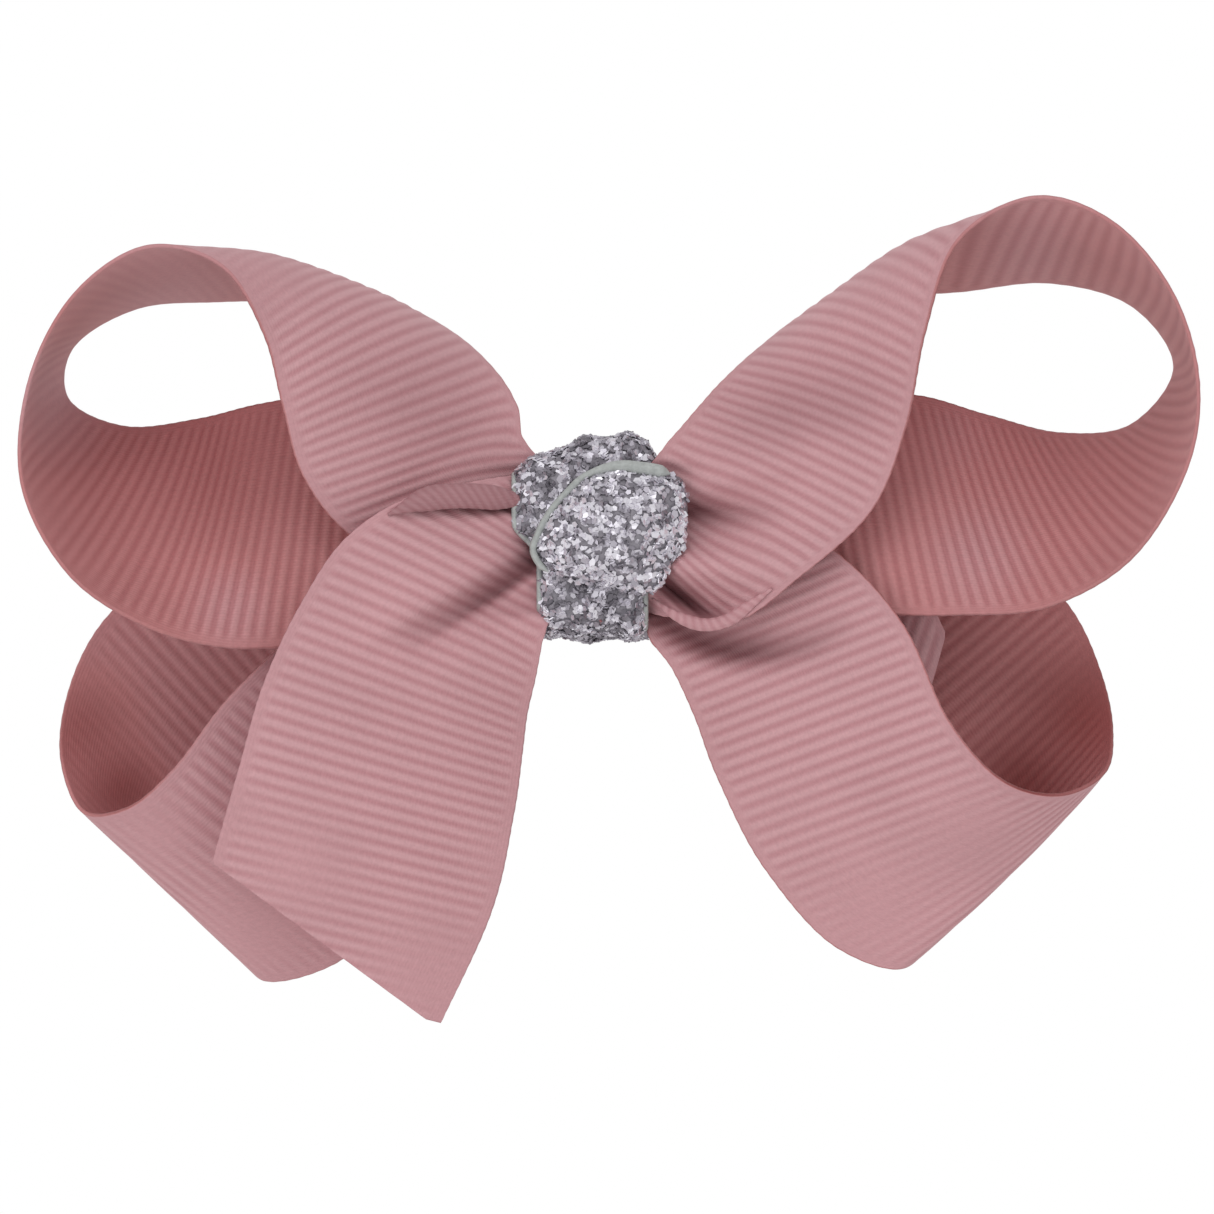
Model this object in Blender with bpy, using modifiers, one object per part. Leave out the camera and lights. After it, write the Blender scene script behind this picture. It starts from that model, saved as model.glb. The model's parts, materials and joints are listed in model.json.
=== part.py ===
"""Twisted boutique hair bow: grosgrain ribbon lobes, glitter centre knot and an alligator clip.

Metres, +Z up, +X to the wearer's side of the long axis, the front of the bow faces -Y.
Origin: the middle of the knot's height, on the plane where the clip's jaws meet.
"""

import math

import bpy
import numpy as np

for thing in list(bpy.data.objects):
    bpy.data.objects.remove(thing, do_unlink=True)

MM = 0.001

# ---- driving dimensions, metres ----
BOW_WIDTH = 0.1056  # left loop edge to right loop edge
BOW_HEIGHT = 0.0742  # tail tip to the top of the right loop
BOW_DEPTH = 1.0  # share of the drawn depth of the loops
RIBBON_THICK = 0.0004
TOUCH_GAP = 0.0003  # left between pieces that touch
NECK_HALF = 0.0070  # half the height of the gathered ribbon at the knot
NECK_REACH = 0.0066  # how far the gathered ribbon runs from the middle
SPLIT_GAP = 0.0012  # between left and right lobe ends, room for the thread
PLEAT_DEPTH = 0.0010  # height of a gathering pleat above its mean
PLEAT_COUNT = 2.5
PLEAT_REACH = 0.0080  # distance from the knot over which the pleats open out
KNOT_WIDTH = 0.0115  # width of the glitter ribbon
KNOT_THICK = 0.0006
THREAD_R = 0.0002
CLIP_TIP_X = -0.0240
CLIP_TAIL_X = 0.0240
CLIP_WIDTH = 0.0080
CLIP_PLATE = 0.0007
HINGE_X = 0.0100
PIN_R = 0.0004
LEVER_ANGLE = math.radians(33)
LINER_THICK = 0.0003
PAD_THICK = 0.0005

# ---- sizes that follow ----
SX = BOW_WIDTH / 0.1056
SZ = BOW_HEIGHT / 0.0742
DRAWN_REAR_Y = -5.3  # mm, where the rails were drawn for the rear layer at the knot
DRAWN_STEP = 1.052  # mm, layer spacing the rails were drawn for
pleat_slope = math.pi * PLEAT_COUNT * PLEAT_DEPTH / NECK_HALF
layer_step = (RIBBON_THICK + TOUCH_GAP) * math.sqrt(1 + pleat_slope**2)
jaw_back_y = -0.0010  # rear face of the fixed jaw
jaw_front_y = jaw_back_y - CLIP_PLATE
liner_y = jaw_front_y - TOUCH_GAP - LINER_THICK
pad_y = liner_y - TOUCH_GAP - PAD_THICK
thread_rear_y = pad_y - TOUCH_GAP - THREAD_R
bundle_rear_y = thread_rear_y - THREAD_R - TOUCH_GAP
rear_layer_y = bundle_rear_y - RIBBON_THICK / 2 - PLEAT_DEPTH
layer_y = [rear_layer_y - layer_step * k for k in range(5)]  # 0 rear ... 4 front
bundle_front_y = layer_y[4] - PLEAT_DEPTH - RIBBON_THICK / 2
thread_front_y = bundle_front_y - TOUCH_GAP - THREAD_R
knot_inner_front_y = thread_front_y - THREAD_R - TOUCH_GAP
thread_half_z = NECK_HALF + TOUCH_GAP + 2 * THREAD_R
knot_inner_half_z = thread_half_z + THREAD_R + TOUCH_GAP
knot_back_y = jaw_back_y + TOUCH_GAP


# ---- collections and materials ----
bow = bpy.data.collections.new("hair_bow")
bpy.context.scene.collection.children.link(bow)
cutters = bpy.data.collections.new("cutters")
bpy.context.scene.collection.children.link(cutters)


def material(name, rgb, roughness, metallic=0.0):
    made = bpy.data.materials.new(name)
    made.use_nodes = True
    shader = made.node_tree.nodes["Principled BSDF"]
    shader.inputs["Base Color"].default_value = (*rgb, 1)
    shader.inputs["Roughness"].default_value = roughness
    shader.inputs["Metallic"].default_value = metallic
    return made


ribbon_rose = material("ribbon_rose", (0.47, 0.27, 0.29), 0.75)
glitter_silver = material("glitter_silver", (0.62, 0.61, 0.64), 0.30, 0.8)
thread_rose = material("thread_rose", (0.40, 0.22, 0.24), 0.80)
nickel = material("nickel_plate", (0.70, 0.69, 0.67), 0.25, 1.0)
spring_steel = material("spring_steel", (0.45, 0.45, 0.46), 0.30, 1.0)
hot_glue = material("hot_glue", (0.75, 0.73, 0.66), 0.45)


def node(name, mesh_or_curve, look, where=bow):
    obj = bpy.data.objects.new(name, mesh_or_curve)
    where.objects.link(obj)
    mesh_or_curve.materials.append(look)
    return obj


def boolean(obj, other, operation):
    cut = obj.modifiers.new(other.name, "BOOLEAN")
    cut.object = other
    cut.operation = operation
    cut.solver = "EXACT"


# ---- ribbon lobes ----
def spline(stations, t, at):
    """Smooth curve through the stations at parameters t, read at the places given."""
    slope = np.empty_like(stations)
    step = np.diff(t)[:, None]
    rate = np.diff(stations, axis=0) / step
    slope[1:-1] = (rate[:-1] * step[1:] + rate[1:] * step[:-1]) / (step[:-1] + step[1:])
    slope[0] = rate[0]
    slope[-1] = rate[-1]
    span = np.clip(np.searchsorted(t, at, side="right") - 1, 0, len(t) - 2)
    h = (t[span + 1] - t[span])[:, None]
    s = ((at - t[span]) / (t[span + 1] - t[span]))[:, None]
    return (
        stations[span] * (2 * s**3 - 3 * s**2 + 1)
        + slope[span] * h * (s**3 - 2 * s**2 + s)
        + stations[span + 1] * (3 * s**2 - 2 * s**3)
        + slope[span + 1] * h * (s**3 - s**2)
    )


def layer_shift(layer):
    """How far a layer at the knot lies from where the rails were drawn for it, in mm."""
    return layer_y[layer] / MM - (DRAWN_REAR_Y - DRAWN_STEP * layer)


def depth_of(drawn):
    """The loops grow forward with BOW_DEPTH. What lies behind the rear layer stays at the clip."""
    return drawn if drawn > DRAWN_REAR_Y else DRAWN_REAR_Y + (drawn - DRAWN_REAR_Y) * BOW_DEPTH


def lobe(name, side, rails, first_layer, last_layer, rows, across=12):
    """One lobe of ribbon from the knot round to the knot, or to its cut end.

    rails: per rib line, the selvage that is on top at the knot (x, z, y), the selvage that is low at
    the knot (x, z, y), and how far the middle of the rib bows out from the straight line between them.
    Distances are in mm for the drawn width, height and layers.
    """
    top, low, bulge = [], [], []
    neck_top = NECK_HALF / MM
    neck = NECK_REACH / MM
    first = layer_y[first_layer] / MM
    for reach in (SPLIT_GAP / 2 / MM, 0.5 * neck, neck):
        top.append((side * reach, first, neck_top))
        low.append((side * reach, first, -neck_top))
        bulge.append((0, 0, 0))
    ends = (first_layer, first_layer if last_layer is None else last_layer)
    for step, (a, b, c) in enumerate(rails):
        share = step / (len(rails) - 1)
        moved = layer_shift(ends[0]) * (1 - share) + layer_shift(ends[1]) * share
        top.append((a[0] * SX, depth_of(a[2]) + moved, a[1] * SZ))
        low.append((b[0] * SX, depth_of(b[2]) + moved, b[1] * SZ))
        bulge.append((c[0] * SX, c[2], c[1] * SZ))
    if last_layer is not None:
        last = layer_y[last_layer] / MM
        for reach in (neck, 0.5 * neck, SPLIT_GAP / 2 / MM):
            top.append((side * reach, last, neck_top))
            low.append((side * reach, last, -neck_top))
            bulge.append((0, 0, 0))
    top, low, bulge = (np.array(line, float) for line in (top, low, bulge))
    middle = (top + low) / 2
    chord = np.linalg.norm(np.diff(middle, axis=0), axis=1) ** 0.75
    t = np.concatenate([[0], np.cumsum(chord)])
    at = np.linspace(0, t[-1], rows + 1)
    top_line = spline(top, t, at)
    low_line = spline(low, t, at)
    bulge_line = spline(bulge, t, at)
    v = np.linspace(-1, 1, across + 1)
    grid = (
        top_line[:, None] * (1 + v)[None, :, None] / 2
        + low_line[:, None] * (1 - v)[None, :, None] / 2
        + bulge_line[:, None] * (1 - v**2)[None, :, None]
    )
    # Gathering pleats run in X and sit at the same heights in every layer, so the layers nest.
    out_x = np.clip(np.abs(grid[:, :, 0]) - neck, 0, None)
    out_z = np.clip(np.abs(grid[:, :, 2]) - neck_top, 0, None)
    fade = np.clip(1 - np.hypot(out_x, out_z) / PLEAT_REACH * MM, 0, 1)
    fade = fade * fade * (3 - 2 * fade)
    height = np.clip(grid[:, :, 2] / neck_top, -1, 1)
    grid[:, :, 1] += PLEAT_DEPTH / MM * fade * np.cos(math.pi * PLEAT_COUNT * height)
    points = grid.reshape(-1, 3) * MM
    width = across + 1
    faces = [
        (r * width + c, r * width + c + 1, (r + 1) * width + c + 1, (r + 1) * width + c)
        for r in range(rows)
        for c in range(across)
    ]
    mesh = bpy.data.meshes.new(name)
    mesh.from_pydata([tuple(p) for p in points], [], faces)
    mesh.update()
    obj = node(name, mesh, ribbon_rose)
    thick = obj.modifiers.new("thickness", "SOLIDIFY")
    thick.thickness = RIBBON_THICK
    thick.offset = 0
    return obj


# Upper left loop: top selvage is the rear one, low selvage is the front rim of the loop.
lobe(
    "upper_left_loop",
    -1,
    [
        ((-7.4, 9.0, -8.4), (-14.0, -4.0, -10.0), (0, 0, 0)),
        ((-8.2, 11.5, -7.2), (-22.3, 0.4, -12.2), (1.0, 0.5, -0.6)),
        ((-10.0, 14.5, -5.0), (-26.4, 5.5, -14.4), (2.0, 0.5, -2.0)),
        ((-13.5, 18.0, -2.0), (-28.3, 12.0, -16.2), (2.2, 1.2, -2.4)),
        ((-18.5, 20.8, 1.5), (-29.6, 18.0, -17.4), (2.0, 1.6, -1.8)),
        ((-26.0, 21.6, 4.5), (-33.1, 24.2, -18.2), (1.0, 1.6, 0)),
        ((-34.5, 21.4, 5.8), (-40.2, 26.5, -18.4), (0, 0.6, 0)),
        ((-41.5, 20.9, 6.2), (-46.5, 21.8, -18.4), (-0.6, 0.3, 0)),
        ((-47.2, 17.2, 6.0), (-51.0, 13.5, -18.2), (-0.8, 0, 0)),
        ((-47.6, 12.8, 5.2), (-51.8, 4.8, -17.6), (-0.8, -0.3, 0)),
        ((-42.5, 10.4, 3.6), (-48.0, -3.3, -16.4), (-0.5, -0.8, 0)),
        ((-36.0, 10.9, 0.4), (-41.0, -8.0, -14.9), (0, -0.8, 0.8)),
        ((-30.5, 12.2, -2.4), (-34.0, -9.5, -13.4), (0, 0, 0.8)),
        ((-24.0, 13.0, -4.6), (-26.5, -9.5, -11.9), (0, 0, 0.4)),
        ((-15.5, 11.5, -6.8), (-16.5, -8.6, -9.8), (0, 0, 0)),
    ],
    3,
    2,
    rows=40,
)

lobe(
    "upper_right_loop",
    1,
    [
        ((7.0, 9.0, -9.4), (11.6, -7.4, -11.4), (0.0, 0, 0)),
        ((8.2, 11.8, -8.2), (17.5, -3.5, -13.0), (0.6, 0.5, -0.8)),
        ((10.0, 14.5, -5.4), (24.3, 2.5, -14.4), (0, 0.8, -1.8)),
        ((13.5, 17.8, -2.5), (27.5, 10.0, -16.0), (-1.2, 1.2, -2.4)),
        ((18.5, 20.8, 1.0), (29.2, 18.5, -17.4), (-1.8, 1.8, -1.8)),
        ((25.0, 22.0, 4.2), (32.0, 26.4, -18.2), (-1.0, 1.4, 0)),
        ((32.5, 22.6, 5.8), (38.5, 30.9, -18.4), (0, 0.6, 0)),
        ((40.5, 23.4, 6.2), (45.9, 28.5, -18.4), (0.3, 0.6, 0)),
        ((47.8, 21.0, 6.0), (51.5, 21.6, -18.4), (0.6, 0.3, 0)),
        ((51.4, 15.6, 5.4), (53.6, 13.2, -18.0), (0.5, 0, 0)),
        ((47.6, 10.6, 4.4), (52.3, 6.0, -17.2), (0.6, -0.4, 0)),
        ((41.5, 9.6, 2.8), (47.3, -1.6, -15.6), (0.5, -0.8, 0)),
        ((34.8, 11.2, -0.6), (40.0, -5.9, -13.8), (0, -0.6, 0.6)),
        ((28.0, 13.0, -3.2), (31.5, -6.7, -12.0), (0, 0, 0.4)),
        ((19.5, 12.2, -5.6), (21.5, -6.6, -10.2), (0, 0, 0)),
        ((11.5, 9.4, -7.0), (12.5, -6.8, -8.5), (0, 0, 0)),
    ],
    4,
    2,
    rows=40,
)

# Lower loops: the top selvage at the knot is the rim at the loop's opening.
lobe(
    "lower_right_loop",
    1,
    [
        ((13.0, 4.0, -8.6), (7.0, -8.4, -8.5), (0, 0, 0)),
        ((21.7, -1.6, -11.2), (6.8, -11.6, -8.0), (0, 0, 0)),
        ((26.9, -7.4, -13.2), (8.4, -15.6, -7.2), (0, 0, 0)),
        ((31.1, -16.2, -14.6), (10.6, -21.4, -6.2), (0, 0, 0)),
        ((36.3, -21.7, -14.6), (14.9, -29.4, -6.0), (0, 0, 0)),
        ((41.8, -22.6, -12.6), (21.6, -36.0, -6.4), (0, 0, 0)),
        ((45.2, -20.4, -9.0), (27.2, -38.0, -6.6), (0, 0, 0)),
        ((45.9, -17.0, -5.6), (29.6, -35.4, -4.4), (0, 0, 0)),
        ((45.0, -12.0, -3.2), (28.0, -30.0, -2.4), (0, 0, 0)),
        ((41.9, -5.6, -2.2), (24.2, -23.2, -2.2), (0, 0, 0)),
        ((35.0, 0.0, -2.6), (18.8, -17.6, -2.8), (0, 0, 0)),
        ((25.5, 4.4, -3.4), (14.0, -13.6, -3.6), (0, 0, 0)),
        ((15.0, 6.6, -4.4), (10.0, -9.8, -4.6), (0, 0, 0)),
    ],
    3,
    0,
    rows=36,
)

lobe(
    "lower_left_loop",
    -1,
    [
        ((-14.0, 4.0, -6.2), (-7.4, -9.0, -6.3), (0, 0, 0)),
        ((-22.0, -2.0, -7.6), (-8.0, -13.4, -5.4), (0, 0, 0)),
        ((-28.6, -9.4, -9.8), (-9.6, -18.6, -3.8), (0, 0, 0)),
        ((-33.6, -14.6, -11.6), (-12.6, -25.2, -1.6), (0, 0, 0)),
        ((-38.2, -20.6, -12.0), (-17.6, -32.0, -0.6), (0, 0, 0)),
        ((-42.4, -24.2, -11.2), (-24.0, -37.4, 0.4), (0, 0, 0)),
        ((-46.1, -24.4, -8.0), (-30.4, -39.2, 1.6), (0, 0, 0)),
        ((-47.8, -20.0, -5.2), (-32.0, -36.0, 3.4), (0, 0, 0)),
        ((-47.2, -14.3, -3.0), (-29.8, -30.6, 4.0), (0, 0, 0)),
        ((-43.8, -7.4, -2.0), (-25.4, -24.2, 2.6), (0, 0, 0)),
        ((-36.0, -0.6, -2.6), (-19.8, -18.2, 0.0), (0, 0, 0)),
        ((-26.0, 4.0, -3.4), (-14.4, -13.8, -2.6), (0, 0, 0)),
        ((-15.0, 6.6, -4.4), (-10.0, -9.8, -4.2), (0, 0, 0)),
    ],
    1,
    0,
    rows=36,
)

lobe(
    "front_tail",
    -1,
    [
        ((-12.6, 4.8, -12.0), (-7.2, -8.6, -9.8), (0, 0, 0)),
        ((-17.9, 3.4, -13.7), (-7.0, -10.4, -9.8), (0, 0, 0)),
        ((-22.6, 0.2, -15.0), (-6.2, -12.6, -9.8), (0, 0, -0.4)),
        ((-26.7, -5.8, -16.0), (-6.6, -15.6, -9.4), (0, 0, -1.0)),
        ((-29.8, -12.4, -16.6), (-7.0, -18.8, -9.4), (0, 0, -1.2)),
        ((-32.2, -20.5, -16.4), (-8.0, -24.6, -9.8), (0, 0, -1.2)),
        ((-34.4, -28.2, -15.2), (-10.6, -34.4, -10.6), (0, 0, -1.0)),
        ((-34.5, -28.8, -15.0), (-14.6, -43.3, -11.4), (0, 0, -0.6)),
    ],
    4,
    None,
    rows=20,
)

lobe(
    "back_tail",
    1,
    [
        ((12.0, 5.0, -5.8), (9.6, -9.4, -6.2), (0, 0, 0)),
        ((18.0, 1.6, -6.0), (14.4, -15.0, -5.8), (0, 0, 0)),
        ((24.0, -2.0, -7.0), (19.0, -21.4, -5.4), (0, 0, 0)),
        ((29.4, -5.6, -8.0), (23.6, -27.0, -5.4), (0, 0, 0)),
        ((30.9, -8.4, -6.6), (25.4, -29.4, -5.0), (0, 0, 0)),
    ],
    1,
    None,
    rows=16,
)


# ---- loops round the bundle ----
def round_ring(half_z, y_front, y_rear, corner, steps=5):
    """Outline of a rounded rectangle in the YZ plane, as (y, z) points."""
    outline = []
    middle = (y_front + y_rear) / 2
    half_y = (y_rear - y_front) / 2
    for quarter in range(4):
        cy = middle + (half_y - corner) * (1, -1, -1, 1)[quarter]
        cz = (half_z - corner) * (1, 1, -1, -1)[quarter]
        for k in range(steps + 1):
            angle = math.pi / 2 * (quarter + k / steps)
            outline.append((cy + corner * math.cos(angle), cz + corner * math.sin(angle)))
    return outline


def band(name, inner, outer, half_width, look):
    """A closed band along X between two outlines with the same count of points."""
    count = len(inner)
    points = [(x, y, z) for x in (-half_width, half_width) for ring in (inner, outer) for y, z in ring]
    faces = []
    for k in range(count):
        n = (k + 1) % count
        faces.append((k, n, count + n, count + k))
        faces.append((2 * count + k, 3 * count + k, 3 * count + n, 2 * count + n))
        faces.append((k, 2 * count + k, 2 * count + n, n))
        faces.append((count + k, count + n, 3 * count + n, 3 * count + k))
    mesh = bpy.data.meshes.new(name)
    mesh.from_pydata(points, [], faces)
    mesh.update()
    return node(name, mesh, look)


knot_corner = 0.0030
knot_inner = round_ring(knot_inner_half_z, knot_inner_front_y, knot_back_y, knot_corner)
knot_outer = round_ring(
    knot_inner_half_z + KNOT_THICK,
    knot_inner_front_y - KNOT_THICK,
    knot_back_y + KNOT_THICK,
    knot_corner + KNOT_THICK,
)
band("knot_band", knot_inner, knot_outer, KNOT_WIDTH / 2, glitter_silver)

# Front turn of the glitter ribbon, lying over the band as a rounded roll.
turn_back_y = knot_inner_front_y - KNOT_THICK - TOUCH_GAP
turn_rise = 0.0022
turn_half_x = 0.0070
turn_half_z = 0.0062
ring_steps, turn_steps = 6, 24
turn_x, turn_z = 0.0006, 0.0007  # the turn sits a little up and right of the middle
turn_points = [(turn_x, turn_back_y - turn_rise, turn_z)]
turn_faces = []
for ring in range(1, ring_steps + 1):
    share = ring / ring_steps
    for k in range(turn_steps):
        angle = 2 * math.pi * k / turn_steps
        turn_points.append(
            (
                turn_x + turn_half_x * share * math.cos(angle),
                turn_back_y - 0.0005 - (turn_rise - 0.0005) * (1 - share**2.4),
                turn_z + turn_half_z * share * math.sin(angle),
            )
        )
for k in range(turn_steps):
    n = (k + 1) % turn_steps
    turn_faces.append((0, 1 + k, 1 + n))
    for ring in range(ring_steps - 1):
        a = 1 + ring * turn_steps
        turn_faces.append((a + k, a + turn_steps + k, a + turn_steps + n, a + n))
last_ring = 1 + (ring_steps - 1) * turn_steps
back_ring = len(turn_points)
turn_points += [(x, turn_back_y, z) for x, _, z in turn_points[last_ring:]]
turn_faces += [
    (last_ring + k, back_ring + k, back_ring + (k + 1) % turn_steps, last_ring + (k + 1) % turn_steps)
    for k in range(turn_steps)
]
turn_faces.append(tuple(back_ring + k for k in reversed(range(turn_steps))))
turn_mesh = bpy.data.meshes.new("knot_turn")
turn_mesh.from_pydata(turn_points, [], turn_faces)
turn_mesh.update()
node("knot_turn", turn_mesh, glitter_silver)


def wire(name, points, radius, look, closed=False, sides=2):
    """A round wire through the points."""
    curve = bpy.data.curves.new(name, "CURVE")
    curve.dimensions = "3D"
    curve.bevel_depth = radius
    curve.bevel_resolution = sides
    curve.use_fill_caps = True
    path = curve.splines.new("POLY")
    path.points.add(len(points) - 1)
    for spot, place in zip(path.points, points):
        spot.co = (*place, 1)
    path.use_cyclic_u = closed
    return node(name, curve, look)


thread_path = round_ring(thread_half_z - THREAD_R, thread_front_y, thread_rear_y, 0.0015)
wire("gathering_thread", [(0, y, z) for y, z in thread_path], THREAD_R, thread_rose, closed=True, sides=1)


# ---- clip ----
def plate(name, outline, half_z, look, centre_z=0.0, where=bow):
    """A flat outline in XY carried along Z."""
    count = len(outline)
    points = [(x, y, centre_z + s * half_z) for s in (-1, 1) for x, y in outline]
    faces = [tuple(range(count))[::-1], tuple(range(count, 2 * count))]
    faces += [(k, (k + 1) % count, count + (k + 1) % count, count + k) for k in range(count)]
    area = sum(
        outline[k][0] * outline[(k + 1) % count][1] - outline[(k + 1) % count][0] * outline[k][1]
        for k in range(count)
    )
    if area < 0:
        faces = [face[::-1] for face in faces]
    mesh = bpy.data.meshes.new(name)
    mesh.from_pydata(points, [], faces)
    mesh.update()
    if where is cutters:
        obj = bpy.data.objects.new(name, mesh)
        cutters.objects.link(obj)
        obj.hide_render = True
        obj.display_type = "WIRE"
        return obj
    return node(name, mesh, look)


def strip(name, x0, x1, half_z, round_end, y_front, y_rear, look, steps=5):
    """A flat strip in XZ with rounded corners, between two depths."""
    outline = []
    for cx, cz, start in (
        (x1 - round_end, half_z - round_end, 0),
        (x0 + round_end, half_z - round_end, 90),
        (x0 + round_end, -half_z + round_end, 180),
        (x1 - round_end, -half_z + round_end, 270),
    ):
        for k in range(steps + 1):
            angle = math.radians(start + 90 * k / steps)
            outline.append((cx + round_end * math.cos(angle), cz + round_end * math.sin(angle)))
    count = len(outline)
    points = [(x, y, z) for y in (y_front, y_rear) for x, z in outline]
    faces = [tuple(range(count)), tuple(range(count, 2 * count))[::-1]]
    faces += [(k, count + k, count + (k + 1) % count, (k + 1) % count) for k in range(count)]
    mesh = bpy.data.meshes.new(name)
    mesh.from_pydata(points, [], faces)
    mesh.update()
    return node(name, mesh, look)


hinge_y = jaw_back_y + 0.0016
ear_thick = 0.0005
fixed_ear_z = CLIP_WIDTH / 2 - ear_thick / 2
moving_ear_z = fixed_ear_z - ear_thick - TOUCH_GAP
moving_half = moving_ear_z + ear_thick / 2
ear_round = 0.00125

fixed = strip(
    "clip_fixed_jaw",
    CLIP_TIP_X,
    CLIP_TAIL_X,
    CLIP_WIDTH / 2,
    0.0020,
    jaw_front_y,
    jaw_back_y,
    nickel,
)


def ear_outline(foot_y, up):
    """Ear profile in XY: a foot on the plate and a round head about the pin."""
    outline = [(HINGE_X + up * 0.0026, foot_y), (HINGE_X - up * 0.0026, foot_y)]
    for k in range(13):
        angle = math.radians(180 - 15 * k)
        outline.append(
            (HINGE_X + up * ear_round * math.cos(angle), hinge_y + up * ear_round * math.sin(angle))
        )
    return outline


def round_cutter(name, x, y, radius, half_z, steps=20):
    outline = [
        (x + radius * math.cos(2 * math.pi * k / steps), y + radius * math.sin(2 * math.pi * k / steps))
        for k in range(steps)
    ]
    return plate(name, outline, half_z, None, where=cutters)


def tool(name, outline, half_z, centre_z):
    return plate(name, outline, half_z, None, centre_z, where=cutters)


for sign, word in ((-1, "low"), (1, "high")):
    ear = tool(
        "fixed_ear_" + word,
        ear_outline(jaw_back_y - CLIP_PLATE / 2, 1),
        ear_thick / 2,
        sign * fixed_ear_z,
    )
    boolean(fixed, ear, "UNION")
pin_clear = 0.00005
hole = round_cutter("fixed_pin_hole", HINGE_X, hinge_y, PIN_R + pin_clear, CLIP_WIDTH)
boolean(fixed, hole, "DIFFERENCE")

# Moving jaw: flat over the hinge, a nose bent in to the fixed jaw with teeth, and a thumb lever.
moving_in_y = hinge_y + 0.0012
moving_out_y = moving_in_y + 0.0006
nose_x = -0.0150
tip_in_y = jaw_back_y + TOUCH_GAP
tip_x = CLIP_TIP_X + 0.0004
bend_x = HINGE_X + 0.0035
lever_len = (CLIP_TAIL_X - bend_x) / math.cos(LEVER_ANGLE) + 0.0010
lc, ls = math.cos(LEVER_ANGLE), math.sin(LEVER_ANGLE)
lever_end = (bend_x + lever_len * lc, moving_in_y + lever_len * ls)
wall = moving_out_y - moving_in_y
nose_slope = (moving_in_y - tip_in_y - 0.0006) / (nose_x - tip_x)


def nose_y(x):
    return moving_in_y - (nose_x - x) * nose_slope


moving_profile = [
    (bend_x, moving_in_y),
    (lever_end[0], lever_end[1]),
    (lever_end[0] - wall * ls, lever_end[1] + wall * lc),
    (bend_x - wall * ls * 0.55, moving_out_y),
    (nose_x, moving_out_y),
    (tip_x, nose_y(tip_x) + wall),
]
tooth = 0.0011
for k in range(3):
    x = tip_x + k * tooth
    moving_profile.append((x, tip_in_y + k * tooth * nose_slope))
    moving_profile.append((x + tooth * 0.55, nose_y(x + tooth * 0.55)))
moving_profile.append((nose_x, moving_in_y))
moving = plate("clip_moving_jaw", moving_profile, moving_half, nickel)
for sign, word in ((-1, "low"), (1, "high")):
    outline = ear_outline(moving_in_y + wall / 2, -1)
    ear = tool("moving_ear_" + word, outline, ear_thick / 2, sign * moving_ear_z)
    boolean(moving, ear, "UNION")
moving_hole = round_cutter("moving_pin_hole", HINGE_X, hinge_y, PIN_R + pin_clear, CLIP_WIDTH * 0.98)
boolean(moving, moving_hole, "DIFFERENCE")
moving.location = (HINGE_X, hinge_y, 0)
for vertex in moving.data.vertices:
    vertex.co.x -= HINGE_X
    vertex.co.y -= hinge_y

# Hinge pin with a small head on each end.
head = 0.0003
pin_profile = [
    (0, -CLIP_WIDTH / 2 - TOUCH_GAP / 2 - head),
    (PIN_R * 1.7, -CLIP_WIDTH / 2 - TOUCH_GAP / 2 - head),
    (PIN_R * 1.7, -CLIP_WIDTH / 2 - TOUCH_GAP / 2),
    (PIN_R, -CLIP_WIDTH / 2 - TOUCH_GAP / 2),
    (PIN_R, CLIP_WIDTH / 2 + TOUCH_GAP / 2),
    (PIN_R * 1.7, CLIP_WIDTH / 2 + TOUCH_GAP / 2),
    (PIN_R * 1.7, CLIP_WIDTH / 2 + TOUCH_GAP / 2 + head),
    (0, CLIP_WIDTH / 2 + TOUCH_GAP / 2 + head),
]
pin_mesh = bpy.data.meshes.new("hinge_pin")
pin_mesh.from_pydata([(r, 0, z) for r, z in reversed(pin_profile)], [(k, k + 1) for k in range(7)], [])
pin_mesh.update()
pin = node("hinge_pin", pin_mesh, nickel)
pin.location = (HINGE_X, hinge_y, 0)
turn = pin.modifiers.new("turn", "SCREW")
turn.angle = 2 * math.pi
turn.steps = 20
turn.render_steps = 20
turn.axis = "Z"
turn.use_merge_vertices = True
turn.merge_threshold = 0.00001
turn.use_normal_calculate = False
turn.use_smooth_shade = False

# Torsion spring: coils round the pin, one leg on each lever.
wire_r = 0.00020
coil_r = PIN_R + wire_r + 0.00012
coils = 3
coil_half = 0.0013
leg_reach = 0.0060
start_angle = math.radians(-90)
spring_path = []
spring_path.append((leg_reach, jaw_back_y - hinge_y + wire_r + 0.0001, -coil_half))
spring_path.append((0.0022, -coil_r, -coil_half))
coil_steps = 56
for k in range(coil_steps + 1):
    share = k / coil_steps
    angle = start_angle - share * (math.pi + 2 * math.pi * coils)
    spring_path.append(
        (coil_r * math.cos(angle), coil_r * math.sin(angle), -coil_half + 2 * coil_half * share)
    )
leg_turn = bend_x - HINGE_X - 0.0002
spring_path.append((leg_turn, coil_r, coil_half))
spring_path.append((leg_turn + 0.0030 * lc, coil_r + 0.0030 * ls, coil_half))
spring = wire("torsion_spring", spring_path, wire_r, spring_steel, sides=1)
spring.location = (HINGE_X, hinge_y, 0)

strip(
    "clip_liner",
    CLIP_TIP_X + 0.0005,
    CLIP_TAIL_X - 0.0005,
    CLIP_WIDTH / 2,
    0.0018,
    liner_y,
    liner_y + LINER_THICK,
    ribbon_rose,
)
strip("glue_pad", -0.0060, 0.0060, 0.0030, 0.0020, pad_y, pad_y + PAD_THICK, hot_glue)
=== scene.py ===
import json
import math

import bmesh
import bpy
import numpy as np
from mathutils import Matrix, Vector, noise

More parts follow.
